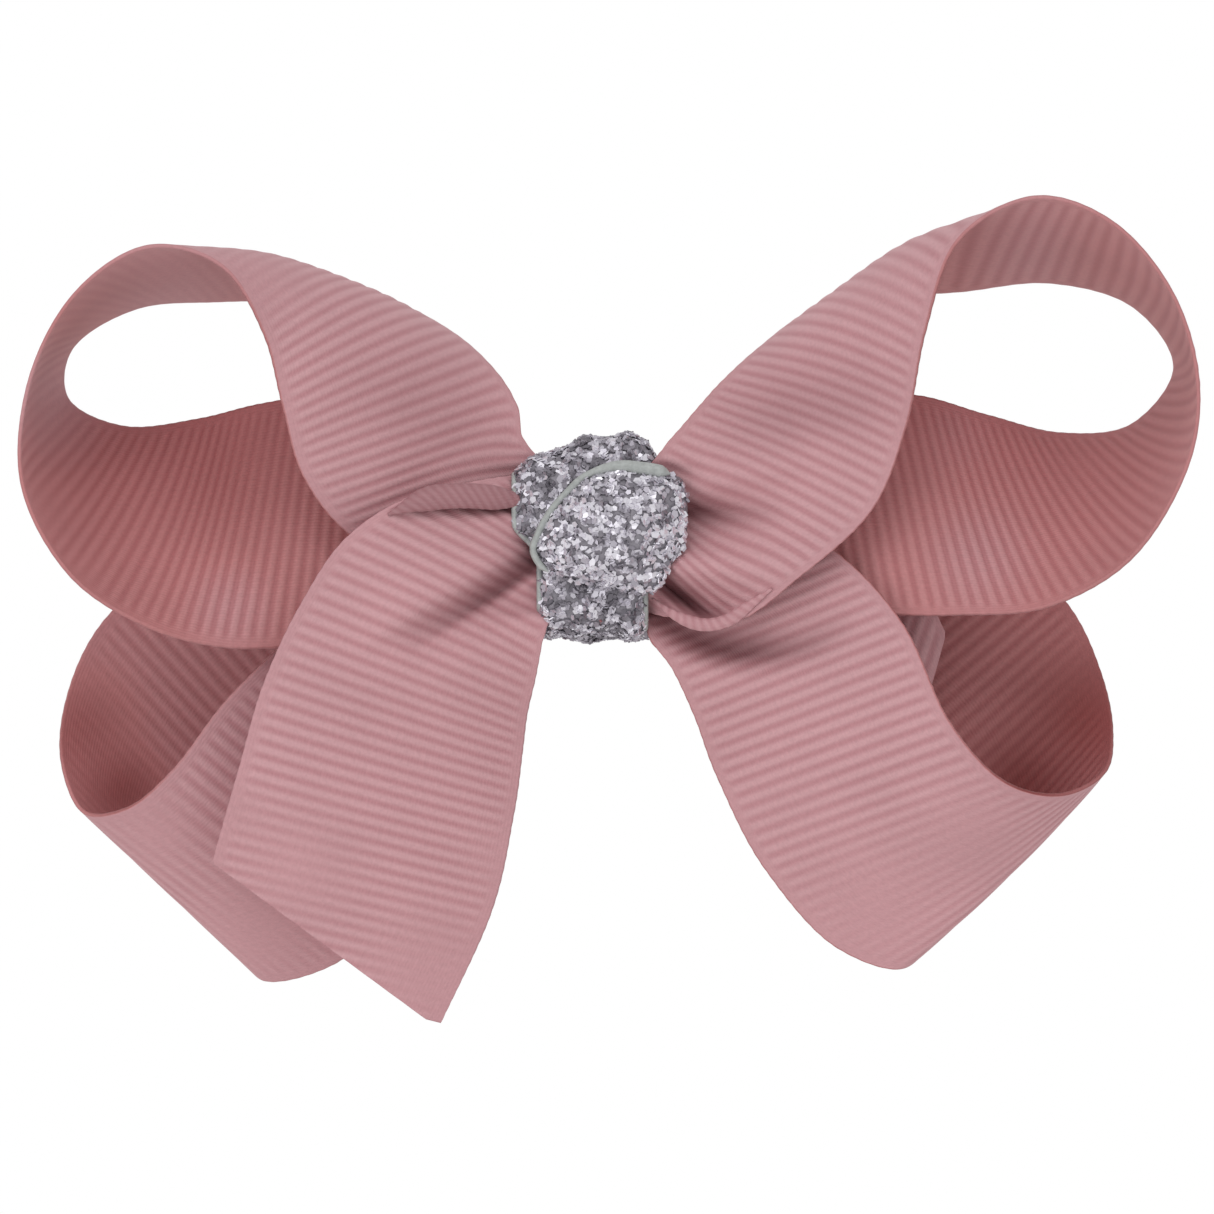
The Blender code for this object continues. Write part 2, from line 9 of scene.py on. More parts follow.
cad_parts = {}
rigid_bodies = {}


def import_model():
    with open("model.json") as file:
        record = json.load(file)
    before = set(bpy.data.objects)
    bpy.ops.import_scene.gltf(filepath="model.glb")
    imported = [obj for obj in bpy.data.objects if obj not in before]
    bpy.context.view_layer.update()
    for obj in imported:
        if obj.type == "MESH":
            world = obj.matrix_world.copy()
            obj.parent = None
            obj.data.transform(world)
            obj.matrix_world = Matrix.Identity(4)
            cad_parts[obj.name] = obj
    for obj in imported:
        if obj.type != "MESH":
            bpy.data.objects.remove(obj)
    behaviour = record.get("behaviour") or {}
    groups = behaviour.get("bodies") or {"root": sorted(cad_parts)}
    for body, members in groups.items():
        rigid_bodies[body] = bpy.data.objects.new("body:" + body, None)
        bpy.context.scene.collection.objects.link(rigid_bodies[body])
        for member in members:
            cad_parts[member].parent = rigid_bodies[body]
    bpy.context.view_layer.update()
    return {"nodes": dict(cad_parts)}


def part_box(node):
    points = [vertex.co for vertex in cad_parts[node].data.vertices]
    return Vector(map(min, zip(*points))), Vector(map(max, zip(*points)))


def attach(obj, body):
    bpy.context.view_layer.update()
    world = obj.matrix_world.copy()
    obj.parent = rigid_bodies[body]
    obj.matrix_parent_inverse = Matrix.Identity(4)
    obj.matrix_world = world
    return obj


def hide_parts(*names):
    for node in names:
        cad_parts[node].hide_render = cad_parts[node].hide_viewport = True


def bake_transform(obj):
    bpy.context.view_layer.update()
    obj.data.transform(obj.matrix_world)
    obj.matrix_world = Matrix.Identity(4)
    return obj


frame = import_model()
scene = bpy.context.scene
scene.view_settings.view_transform = "Standard"
mm = 0.001


# small helpers used by every piece
def linearFromHex(code):
    channels = [int(code[k : k + 2], 16) / 255 for k in (1, 3, 5)]
    return tuple(c / 12.92 if c <= 0.04045 else ((c + 0.055) / 1.055) ** 2.4 for c in channels) + (1,)


def setInputs(node, inputs):
    # an input takes a value, another node's socket, or the node itself for its first socket
    for key, value in inputs.items():
        if isinstance(value, bpy.types.Node):
            value = value.outputs[0]
        if isinstance(value, bpy.types.NodeSocket):
            node.id_data.links.new(value, node.inputs[key])
        else:
            node.inputs[key].default_value = value


def addNode(tree, kind, inputs=None, **settings):
    made = tree.nodes.new(kind)
    for key, value in settings.items():
        setattr(made, key, value)
    setInputs(made, inputs or {})
    return made


def newMaterial(name):
    made = bpy.data.materials.new(name)
    made.use_nodes = True
    return made, made.node_tree, made.node_tree.nodes["Principled BSDF"]


def mottle(tree, shader, colour, scale, detail, between, tint):
    # the colour a little lighter and darker over a fine noise, which is handed back for bumps
    coords = addNode(tree, "ShaderNodeTexCoord")
    grain = addNode(tree, "ShaderNodeTexNoise", {
        "Vector": coords.outputs["Object"], "Scale": scale, "Detail": detail,
    })
    level = addNode(tree, "ShaderNodeMapRange", {
        "Value": grain.outputs["Fac"], "From Min": between[0], "From Max": between[1], "To Min": tint[0],
        "To Max": tint[1],
    })
    dye = addNode(tree, "ShaderNodeVectorMath", {
        0: linearFromHex(colour)[:3], "Scale": level.outputs["Result"],
    }, operation="SCALE")
    setInputs(shader, {"Base Color": dye})
    return coords, grain


def newTree(name, sockets):
    tree = bpy.data.node_groups.new(name, "GeometryNodeTree")
    tree.interface.new_socket("Geometry", in_out="INPUT", socket_type="NodeSocketGeometry")
    for label, kind in sockets:
        tree.interface.new_socket(label, in_out="INPUT", socket_type="NodeSocket" + kind)
    tree.interface.new_socket("Geometry", in_out="OUTPUT", socket_type="NodeSocketGeometry")
    return tree, tree.nodes.new("NodeGroupInput"), tree.nodes.new("NodeGroupOutput")


def endTree(tree, shape, given, result):
    real = addNode(tree, "GeometryNodeRealizeInstances", {"Geometry": shape})
    dressed = addNode(tree, "GeometryNodeSetMaterial", {"Geometry": real, "Material": given.outputs["Material"]})
    setInputs(result, {0: dressed})
    return tree


def runTree(mesh, tree, values, name):
    # values go in by the sockets' identifiers, then the result becomes a plain mesh
    source = addPiece(name + "Source", mesh)
    ids = {s.name: s.identifier for s in tree.interface.items_tree if s.in_out == "INPUT"}
    modifier = source.modifiers.new(tree.name, "NODES")
    modifier.node_group = tree
    for label, value in values.items():
        modifier[ids[label]] = value
    source.update_tag()
    bpy.context.view_layer.update()
    shaped = plainMesh(source)
    bpy.data.objects.remove(source)
    return addPiece(name, shaped)


def plainMesh(made):
    # what the modifiers make of a piece, and the modifiers removed
    shaped = bpy.data.meshes.new_from_object(made.evaluated_get(bpy.context.evaluated_depsgraph_get()))
    made.modifiers.clear()
    return shaped


def addPiece(name, mesh):
    mesh.name = name
    made = bpy.data.objects.new(name, mesh)
    scene.collection.objects.link(made)
    return made


def meshFrom(name, points, faces):
    mesh = bpy.data.meshes.new(name)
    mesh.from_pydata([tuple(p) for p in points], [], faces)
    mesh.update()
    return mesh


def keepOnPoints(mesh, fields):
    # a number or a vector at every point, under each name
    for label, field in fields.items():
        field = np.array(field, np.float32)
        kind, slot = ("FLOAT", "value") if field.ndim == 1 else ("FLOAT_VECTOR", "vector")
        mesh.attributes.new(label, kind, "POINT").data.foreach_set(slot, field.ravel())


def boxOf(node):
    # a CAD node's box in mm
    return (np.array(corner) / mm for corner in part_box(node))


def gridFaces(rows, columns, closedRows=False, closedColumns=False):
    faces = []
    for r in range(rows if closedRows else rows - 1):
        for c in range(columns if closedColumns else columns - 1):
            r2, c2 = (r + 1) % rows, (c + 1) % columns
            faces.append((r * columns + c, r * columns + c2, r2 * columns + c2, r2 * columns + c))
    return faces


def smoothCurve(stations, t, at):
    # a curve through the stations, which stand at t, read at the places in at
    slope = np.empty_like(stations)
    step = np.diff(t)[:, None]
    rate = np.diff(stations, axis=0) / step
    slope[1:-1] = (rate[:-1] * step[1:] + rate[1:] * step[:-1]) / (step[:-1] + step[1:])
    slope[0], slope[-1] = rate[0], rate[-1]
    span = np.clip(np.searchsorted(t, at, side="right") - 1, 0, len(t) - 2)
    h = (t[span + 1] - t[span])[:, None]
    s = ((at - t[span]) / (t[span + 1] - t[span]))[:, None]
    return (
        stations[span] * (2 * s**3 - 3 * s**2 + 1)
        + slope[span] * h * (s**3 - 2 * s**2 + s)
        + stations[span + 1] * (3 * s**2 - 2 * s**3)
        + slope[span + 1] * h * (s**3 - s**2)
    )


def runAlong(points, power=1):
    return np.concatenate([[0], np.cumsum(np.linalg.norm(np.diff(points, axis=0), axis=1) ** power)])


def curveThrough(points, count):
    points = np.array(points, float)
    t = runAlong(points, 0.7)
    return smoothCurve(points, t, np.linspace(0, t[-1], count))


def roundedRing(halfY, halfZ, corner, steps):
    # a rectangle's outline with round corners, in y and z, and how far round it each point is
    ring = []
    for quarter, (signY, signZ) in enumerate(((1, 1), (-1, 1), (-1, -1), (1, -1))):
        for k in range(steps + 1):
            angle = math.pi / 2 * (quarter + k / steps)
            y = signY * (halfY - corner) + corner * math.cos(angle)
            ring.append((y, signZ * (halfZ - corner) + corner * math.sin(angle)))
    ring = np.array(ring + ring[:1])
    return ring, runAlong(ring)


def easeStep(x):
    x = np.clip(x, 0, 1)
    return x * x * (3 - 2 * x)


# polyester grosgrain, dyed dusty rose: matt cords across the ribbon with a soft sheen, painted light on their crowns
# and painted shade, darker and redder, down between them, and a fine speckle from the warp yarns that cross over.
# Loop insides, curls and creases carry painted shade too.
grosgrain = {
    "crown": "#cd9da2",
    "valleyShade": "#bc858b",
    "sheen": "#f0c9cc",
    "insideShade": "#f6dad4",  # painted shade on a loop's inner face
    "deepShade": "#b67c76",  # deeper painted shade down in a curl
    # painted shade for the hard creases
    "crease": "#8a6a6e",
    "ribPitch": 1.2,  # mm, 21 cords to the inch
    "warpPitch": 0.3,  # mm, drawn a little coarse so that it shows
}


def grosgrainMaterial(name):
    made, tree, shader = newMaterial(name)
    along, across, relief, shelter, crease = (
        addNode(tree, "ShaderNodeAttribute", attribute_name=label).outputs["Fac"]
        for label in ("along", "across", "relief", "shelter", "crease")
    )
    # painted light and shade on the ribs: the colour runs from the painted shade of the valley to the lighter crown,
    # along the same wave as the ribs' relief
    turns = addNode(tree, "ShaderNodeMath", {0: along, 1: 2 * math.pi / grosgrain["ribPitch"]}, operation="MULTIPLY")
    wave = addNode(tree, "ShaderNodeMath", {0: turns}, operation="COSINE")
    eased = addNode(tree, "ShaderNodeMath", {0: wave, 1: relief}, operation="MULTIPLY")
    crown = addNode(tree, "ShaderNodeMapRange", {"Value": eased, "From Min": -1.0, "From Max": 0.7})
    dye = addNode(tree, "ShaderNodeMix", {
        "Factor": crown.outputs["Result"],
        "A": linearFromHex(grosgrain["valleyShade"]),
        "B": linearFromHex(grosgrain["crown"]),
    }, data_type="RGBA")
    place = addNode(tree, "ShaderNodeCombineXYZ", {"X": along, "Y": across})
    warp = addNode(tree, "ShaderNodeTexWave", {
        "Vector": place, "Scale": 2 * math.pi / grosgrain["warpPitch"] / 20, "Distortion": 1.6,
        "Detail": 2.0, "Detail Scale": 2.5,
    }, wave_type="BANDS", bands_direction="Y", wave_profile="SIN")
    speckle = addNode(tree, "ShaderNodeTexNoise", {"Vector": place, "Scale": 2.6, "Detail": 3.0, "Roughness": 0.6})
    drift = addNode(tree, "ShaderNodeTexNoise", {"Vector": place, "Scale": 0.09, "Detail": 2.0})
    fleck = addNode(tree, "ShaderNodeMapRange", {
        "Value": speckle.outputs["Fac"], "From Min": 0.3, "From Max": 0.7, "To Min": 0.93, "To Max": 1.06,
    })
    shade = addNode(tree, "ShaderNodeMapRange", {
        "Value": drift.outputs["Fac"], "From Min": 0.3, "From Max": 0.7, "To Min": 0.96, "To Max": 1.04,
    })
    both = addNode(tree, "ShaderNodeMath", {
        0: fleck.outputs["Result"], 1: shade.outputs["Result"],
    }, operation="MULTIPLY")
    tone = addNode(tree, "ShaderNodeVectorMath", {0: dye.outputs["Result"], "Scale": both}, operation="SCALE")
    # painted shade: light that has bounced about inside a loop comes back redder, so the inner faces are painted
    # deeper and redder towards the curl
    depth = addNode(tree, "ShaderNodeValToRGB", {"Fac": shelter})
    stops = depth.color_ramp.elements
    stops[0].color = (1, 1, 1, 1)
    stops[1].color = linearFromHex(grosgrain["deepShade"])
    stops.new(0.5).color = linearFromHex(grosgrain["insideShade"])
    insideShadedTone = addNode(tree, "ShaderNodeVectorMath", {0: tone, 1: depth.outputs["Color"]}, operation="MULTIPLY")
    # painted shade: a dark line painted down in the hard creases at the knot
    creased = addNode(tree, "ShaderNodeMix", {
        "Factor": crease, "A": insideShadedTone, "B": linearFromHex(grosgrain["crease"]),
    }, data_type="RGBA", blend_type="MULTIPLY")
    yarn = addNode(tree, "ShaderNodeMath", {0: warp.outputs["Fac"], 1: speckle.outputs["Fac"]}, operation="ADD")
    bump = addNode(tree, "ShaderNodeBump", {"Strength": 0.25, "Distance": 0.00006, "Height": yarn})
    setInputs(shader, {
        "Base Color": creased.outputs["Result"], "Normal": bump, "Roughness": 0.62, "IOR": 1.55,
        "Specular IOR Level": 0.35, "Sheen Weight": 0.22, "Sheen Roughness": 0.45,
        "Sheen Tint": linearFromHex(grosgrain["sheen"]),
    })
    return made


roseGrosgrain = grosgrainMaterial("roseGrosgrain")

# the bow's ribbon: sizes in mm
ribbon = {
    "width": 25.0,
    "thickness": 0.34,
    "ribHeight": 0.10,
    "selvageBead": 0.03,
    "hemPitch": 0.8,  # the ribs close up where the selvage rolls over
    "rowsPerRib": 6,
    "columns": 44,
    "endGap": 0.35,  # the cut ends stop short of the first and last rib
    "selvagePlain": 0.6,  # no ribs this near a selvage, and full ribs once the fade is past
    "selvageFade": 0.9,
    "neckHalf": 6.4,  # the gathered neck's half height, where it starts and how near the middle it goes
    "neckReach": 3.6,
    "neckSplit": 0.6,
    "rearLayer": -5.3,  # depth of the rear layer at the neck, and of each layer before it
    "layerStep": 1.052,
    "pleatDepth": 0.8,
    "pleatCount": 2.5,
    "pleatHalf": 7.0,
    "pleatFrom": 5.0,
    "pleatReach": 8.0,
}


def ribbonTree():
    tree, given, result = newTree("grosgrainRibs", [
        ("Rib Pitch", "Float"), ("Rib Height", "Float"), ("Thickness", "Float"), ("Selvage Bead", "Float"),
        ("Material", "Material"),
    ])
    along, relief, shelter, rim, readHalf = (
        addNode(tree, "GeometryNodeInputNamedAttribute", {"Name": label}, data_type="FLOAT").outputs[0]
        for label in ("along", "relief", "shelter", "rim", "half")
    )
    selvage, readRise = (
        addNode(tree, "GeometryNodeInputNamedAttribute", {"Name": label}, data_type="FLOAT_VECTOR").outputs[0]
        for label in ("selvage", "rise")
    )
    share = addNode(tree, "ShaderNodeMath", {0: along, 1: given.outputs["Rib Pitch"]}, operation="DIVIDE")
    turns = addNode(tree, "ShaderNodeMath", {0: share, 1: 2 * math.pi}, operation="MULTIPLY")
    wave = addNode(tree, "ShaderNodeMath", {0: turns}, operation="COSINE")
    lifted = addNode(tree, "ShaderNodeMath", {0: wave, 1: 0.5, 2: 0.5}, operation="MULTIPLY_ADD")
    crown = addNode(tree, "ShaderNodeMath", {0: lifted, 1: 0.8}, operation="POWER")
    level = addNode(tree, "ShaderNodeMath", {0: crown, 1: 0.55}, operation="SUBTRACT")
    faded = addNode(tree, "ShaderNodeMath", {0: level, 1: relief}, operation="MULTIPLY")
    high = addNode(tree, "ShaderNodeMath", {0: faded, 1: given.outputs["Rib Height"]}, operation="MULTIPLY")
    half = addNode(tree, "ShaderNodeMath", {0: given.outputs["Thickness"], 1: 0.5, 2: high}, operation="MULTIPLY_ADD")
    beads = addNode(tree, "ShaderNodeMath", {0: crown, 1: given.outputs["Selvage Bead"]}, operation="MULTIPLY")
    outward = addNode(tree, "ShaderNodeVectorMath", {0: selvage, "Scale": beads}, operation="SCALE")
    beaded = addNode(tree, "GeometryNodeSetPosition", {"Geometry": given.outputs["Geometry"], "Offset": outward})
    keepHalf = addNode(tree, "GeometryNodeStoreNamedAttribute", {
        "Geometry": beaded, "Name": "half", "Value": half,
    }, data_type="FLOAT", domain="POINT")
    facing = addNode(tree, "GeometryNodeInputNormal")
    keepRise = addNode(tree, "GeometryNodeStoreNamedAttribute", {
        "Geometry": keepHalf, "Name": "rise", "Value": facing.outputs["Normal"],
    }, data_type="FLOAT_VECTOR", domain="POINT")
    down = addNode(tree, "ShaderNodeMath", {0: readHalf, 1: -1.0}, operation="MULTIPLY")
    downward = addNode(tree, "ShaderNodeVectorMath", {0: readRise, "Scale": down}, operation="SCALE")
    base = addNode(tree, "GeometryNodeSetPosition", {"Geometry": keepRise, "Offset": downward})
    under = addNode(tree, "GeometryNodeFlipFaces", {"Mesh": base})
    wall = addNode(tree, "GeometryNodeExtrudeMesh", {
        "Mesh": base, "Offset Scale": 0.0, "Individual": False,
    }, mode="FACES")
    up = addNode(tree, "ShaderNodeMath", {0: readHalf, 1: 2.0}, operation="MULTIPLY")
    upward = addNode(tree, "ShaderNodeVectorMath", {0: readRise, "Scale": up}, operation="SCALE")
    over = addNode(tree, "GeometryNodeSetPosition", {
        "Geometry": wall.outputs["Mesh"], "Selection": wall.outputs["Top"], "Offset": upward,
    })
    joined = addNode(tree, "GeometryNodeJoinGeometry")
    # the under face and the cut rim keep the painted shelter shade that a loop gives them, and only the over face has
    # painted crease shade
    rimShade = addNode(tree, "ShaderNodeMath", {0: shelter, 1: rim}, operation="MULTIPLY")
    isOver = addNode(tree, "GeometryNodeStoreNamedAttribute", {
        "Geometry": over, "Selection": wall.outputs["Top"], "Name": "shelter", "Value": rimShade,
    }, data_type="FLOAT", domain="POINT")
    tree.links.new(isOver.outputs[0], joined.inputs[0])
    notUnder = addNode(tree, "GeometryNodeStoreNamedAttribute", {
        "Geometry": under, "Name": "crease", "Value": 0.0,
    }, data_type="FLOAT", domain="POINT")
    tree.links.new(notUnder.outputs[0], joined.inputs[0])
    closed = addNode(tree, "GeometryNodeMergeByDistance", {"Geometry": joined, "Distance": 0.000001})
    smooth = addNode(tree, "GeometryNodeSetShadeSmooth", {"Geometry": closed})
    return endTree(tree, smooth.outputs[0], given, result)


grosgrainRibs = ribbonTree()


def stationsOf(lobe):
    # the rails as rows of an array, with the gathered neck added at the knot
    rails = np.array([rail if len(rail) > 8 else (*rail[:6], 0, 0, 0, *rail[6:]) for rail in lobe["rails"]], float)
    half = ribbon["neckHalf"]
    for atEnd, layer in enumerate(lobe["layers"]):
        if layer is None:
            continue
        depth = ribbon["rearLayer"] - ribbon["layerStep"] * layer
        last, sign = (-1, 1) if atEnd else (0, -1)
        for share in (1.0, 0.5, ribbon["neckSplit"] / ribbon["neckReach"]):
            x = lobe["side"] * ribbon["neckReach"] * share
            edge = rails[last]
            new = [x, half, depth, x, -half, depth, 0, 0, 0]
            new += [edge[9 + k] + sign * math.dist(new[3 * k : 3 * k + 3], edge[3 * k : 3 * k + 3]) for k in (0, 1)]
            rails = np.insert(rails, len(rails) if atEnd else 0, new, axis=0)
    top, low, bulge = (rails[:, [k, k + 2, k + 1]] for k in (0, 3, 6))
    return top, low, bulge, rails[:, 9:10], rails[:, 10:], runAlong((top + low) / 2, 0.75)


def foldDepth(fold, points):
    # how far a fold pushes the ribbon back (+) or lifts it (-), its two flanks with their own widths, and the painted
    # shade down in the fold
    line = curveThrough(fold["line"], 60)
    spans = points[:, None, [0, 2]] - line[None, :, :2]
    gap = np.hypot(spans[..., 0], spans[..., 1])
    near = gap.argmin(axis=1)
    tangent = np.gradient(line[:, :2], axis=0)[near]
    offset = spans[np.arange(len(points)), near]
    side = tangent[:, 0] * offset[:, 1] - tangent[:, 1] * offset[:, 0]
    reach = np.where(side > 0, fold["flanks"][0], fold["flanks"][1])
    share = np.exp(-((gap.min(axis=1) / reach) ** 2))
    foldShade = np.interp(near / 59, np.linspace(0, 1, len(fold["line"])), fold.get("foldShade", [0] * len(fold["line"])))
    return line[near, 2] * share, foldShade * share


def ribbedPiece(name, mesh, height, thickness, bead, fields):
    # a bare sheet given its ribs and body, sizes in mm; fields are what its points carry
    none = np.zeros(len(mesh.vertices))
    keepOnPoints(mesh, {"shelter": none, "crease": none, "selvage": np.zeros((len(none), 3)), **fields})
    made = runTree(mesh, grosgrainRibs, {
        "Rib Pitch": grosgrain["ribPitch"], "Rib Height": height * mm, "Thickness": thickness * mm,
        "Selvage Bead": bead * mm, "Material": roseGrosgrain,
    }, name)
    for label in ("half", "rise", "selvage", "rim"):
        if label in made.data.attributes:
            made.data.attributes.remove(made.data.attributes[label])
    return made


def makeLobe(name, lobe):
    top, low, bulge, runTop, runLow, t = stationsOf(lobe)
    fine = np.linspace(0, t[-1], 1600)
    topAlong = smoothCurve(runTop, t, fine)[:, 0]
    lowAlong = smoothCurve(runLow, t, fine)[:, 0]
    # rows follow the ribs, so each row stays at one place along the ribbon
    step = grosgrain["ribPitch"] / ribbon["rowsPerRib"]
    first, final = min(topAlong[0], lowAlong[0]), max(topAlong[-1], lowAlong[-1])
    rows = np.arange(first + ribbon["endGap"], final - ribbon["endGap"], step)
    columns = ribbon["columns"]
    c = np.linspace(0, 1, columns - 4)
    c = np.concatenate([[0, 0.006, 0.016], c[1:-1], [0.984, 0.994, 1]])

    # the knot and a slanted cut cross the ribs, so rows there have only part of the width
    wLow, wHigh = np.zeros(len(rows)), np.ones(len(rows))
    for sign, lowEnd, topEnd in ((1, lowAlong[0], topAlong[0]), (-1, lowAlong[-1], topAlong[-1])):
        if abs(topEnd - lowEnd) < 0.01:
            continue
        edge = np.clip((rows - lowEnd) / (topEnd - lowEnd), 0, 1)
        if (topEnd - lowEnd) * sign > 0:
            wHigh = np.minimum(wHigh, edge)
        else:
            wLow = np.maximum(wLow, edge)
    w = wLow[:, None] + (wHigh - wLow)[:, None] * c[None]
    target = np.repeat(rows[:, None], columns, axis=1)
    below, above = np.zeros_like(w), np.full_like(w, t[-1])
    for _ in range(34):
        u = (below + above) / 2
        run = np.interp(u, fine, lowAlong) * (1 - w) + np.interp(u, fine, topAlong) * w
        short = run < target
        below = np.where(short, u, below)
        above = np.where(short, above, u)
    u = ((below + above) / 2).ravel()
    w = w.ravel()
    points = (
        smoothCurve(top, t, u) * w[:, None]
        + smoothCurve(low, t, u) * (1 - w)[:, None]
        + smoothCurve(bulge, t, u) * (4 * w * (1 - w))[:, None]
    )
    outX = np.clip(np.abs(points[:, 0]) - ribbon["pleatFrom"], 0, None)
    outZ = np.clip(np.abs(points[:, 2]) - ribbon["pleatHalf"], 0, None)
    fade = easeStep(1 - np.hypot(outX, outZ) / ribbon["pleatReach"])
    height = np.clip(points[:, 2] / ribbon["pleatHalf"], -1, 1)
    points[:, 1] += ribbon["pleatDepth"] * fade * np.cos(math.pi * ribbon["pleatCount"] * height)
    # painted shade down in each fold, from the folds' dark lists
    crease = np.zeros(len(points))
    pushed = np.zeros(len(points))
    here = u / t[-1] <= (1 if lobe["layers"][1] is None else 0.5)  # a loop is folded in its front half only
    for fold in lobe.get("folds", ()):
        depth, foldShade = foldDepth(fold, points[here])
        pushed[here] += depth
        crease[here] = np.maximum(crease[here], foldShade)
    points[:, 1] += pushed
    relief = np.ones(len(points))
    for x, z, reach, flat in lobe.get("calm", ()):
        gap = np.hypot(points[:, 0] - x, points[:, 2] - z)
        relief *= 1 - flat * easeStep(1 - gap / reach)
    # painted shade: the shelter shade is the lobe's inside amount over the whole inner face, eased towards each deep
    # patch's amount
    shelter = np.full(len(points), lobe.get("insideShade", 0.0))
    for x, z, reach, depth in lobe.get("deepShade", ()):
        gap = np.hypot(points[:, 0] - x, points[:, 2] - z)
        shelter += (depth - shelter) * easeStep(1 - gap / reach)
    edgeGap = np.minimum(w, 1 - w) * ribbon["width"]
    grid = points.reshape(len(rows), columns, 3)
    outward = np.zeros_like(grid)
    outward[:, 0] = grid[:, 0] - grid[:, 3]
    outward[:, -1] = grid[:, -1] - grid[:, -4]
    size = np.linalg.norm(outward, axis=2, keepdims=True)
    outward = np.where(size > 1e-6, outward / np.maximum(size, 1e-6), 0)
    faces = gridFaces(len(rows), columns)
    if lobe["side"] > 0:
        faces = [face[::-1] for face in faces]
    mesh = meshFrom(name, points * mm, faces)
    made = ribbedPiece(name, mesh, ribbon["ribHeight"], ribbon["thickness"], ribbon["selvageBead"], {
        "along": target.ravel(),
        "across": w * ribbon["width"],
        "relief": relief * (0.1 + 0.9 * easeStep((edgeGap - ribbon["selvagePlain"]) / ribbon["selvageFade"])),
        "shelter": shelter,
        "crease": crease,
        "rim": edgeGap < 0.02,
        "selvage": outward.reshape(-1, 3),
    })
    length = (np.mean([topAlong[-1], lowAlong[-1]]) - np.mean([topAlong[0], lowAlong[0]])) * mm
    return made, length


# each rail: top selvage x z y, low selvage x z y, how far the middle bows out in x z y where it does, and
# mm along the ribbon at the top and at the low selvage
# inside and deep (x, z, reach, amount) set a loop's painted shade; calm patches (x, z, reach, share) make the ribs
# flatter, and a negative share stronger, in both their relief and their painted valley shade; each fold's dark list
# is painted shade down in the fold
upperLeft = {
    "node": "upper_left_loop", "side": -1, "layers": (3, 2), "piece": "upperLeftLoop",
    "insideShade": 0.5,
    "deepShade": [(-33.0, 5.0, 10.0, 0.7), (-33.0, -6.5, 6.0, 0.25), (-38.0, 24.0, 12.0, 0.15), (-49.5, 12.5, 8.0, 0.1)],
    "calm": [
        (-38.4, 24.0, 12.0, 0.9), (-30.0, 23.0, 7.0, 0.7), (-46.0, 19.0, 8.0, 0.8), (-49.5, 12.0, 6.5, 0.8),
        (-31.2, 8.0, 5.0, 0.5),
        (-50.5, 2.0, 5.0, 0.8), (-47.0, -4.5, 4.5, 0.8), (-33.0, -4.5, 8.0, -0.7), (-18.0, 4.0, 5.0, -0.4),
    ],
    "folds": [
        {"flanks": (4.0, 4.5),
         "line": [(-9.0, 8.6, 0), (-18.0, 11.8, 0.5), (-27.0, 14.0, 0)], "foldShade": [0.1, 0.24, 0]},
    ],
    "rails": [
        (-6.9, 9.1, -8.4, -14.0, -4.0, -10.0, 6.3, -9.1),
        (-7.4, 11.8, -7.2, -22.3, 0.4, -12.2, 1.0, 0.5, -0.6, 8.3, 0.9),
        (-9.3, 14.9, -5.0, -26.4, 5.5, -14.4, 2.0, 0.5, -2.0, 11.3, 8.1),
        (-13.2, 18.5, -2.0, -28.3, 12.0, -16.2, 2.2, 1.4, -2.4, 16.0, 16.2),
        (-18.5, 21.2, 1.5, -29.8, 18.0, -17.4, 2.0, 2.2, -1.8, 21.7, 23.1),
        (-26.0, 21.7, 4.5, -33.4, 24.1, -18.2, 1.0, 2.4, 0, 29.1, 30.4),
        (-34.5, 21.7, 5.8, -40.4, 26.0, -18.4, 0, 0.6, 0, 37.4, 37.4),
        (-41.8, 21.1, 6.2, -46.8, 21.7, -18.4, -0.6, 0.3, 0, 44.8, 44.3),
        (-47.8, 17.4, 6.0, -50.9, 13.5, -18.2, -0.8, 0, 0, 52.3, 52.7),
        (-48.1, 12.7, 5.2, -51.4, 4.9, -17.6, -0.8, -0.3, 0, 57.7, 60.2),
        (-42.9, 10.2, 3.6, -47.3, -3.0, -16.4, -0.5, -0.8, 0, 64.7, 68.0),
        (-36.0, 10.9, 0.4, -40.4, -7.7, -14.9, 0, -0.8, 0.8, 73.0, 75.5),
        (-30.5, 12.2, -2.4, -34.0, -9.5, -13.4, 0, 0, 0.8, 80.8, 81.9),
        (-24.0, 13.0, -4.6, -26.5, -9.5, -11.9, 0, 0, 0.4, 89.0, 89.1),
        (-15.5, 11.5, -6.8, -16.5, -8.6, -9.8, 99.0, 99.0),
    ],
}
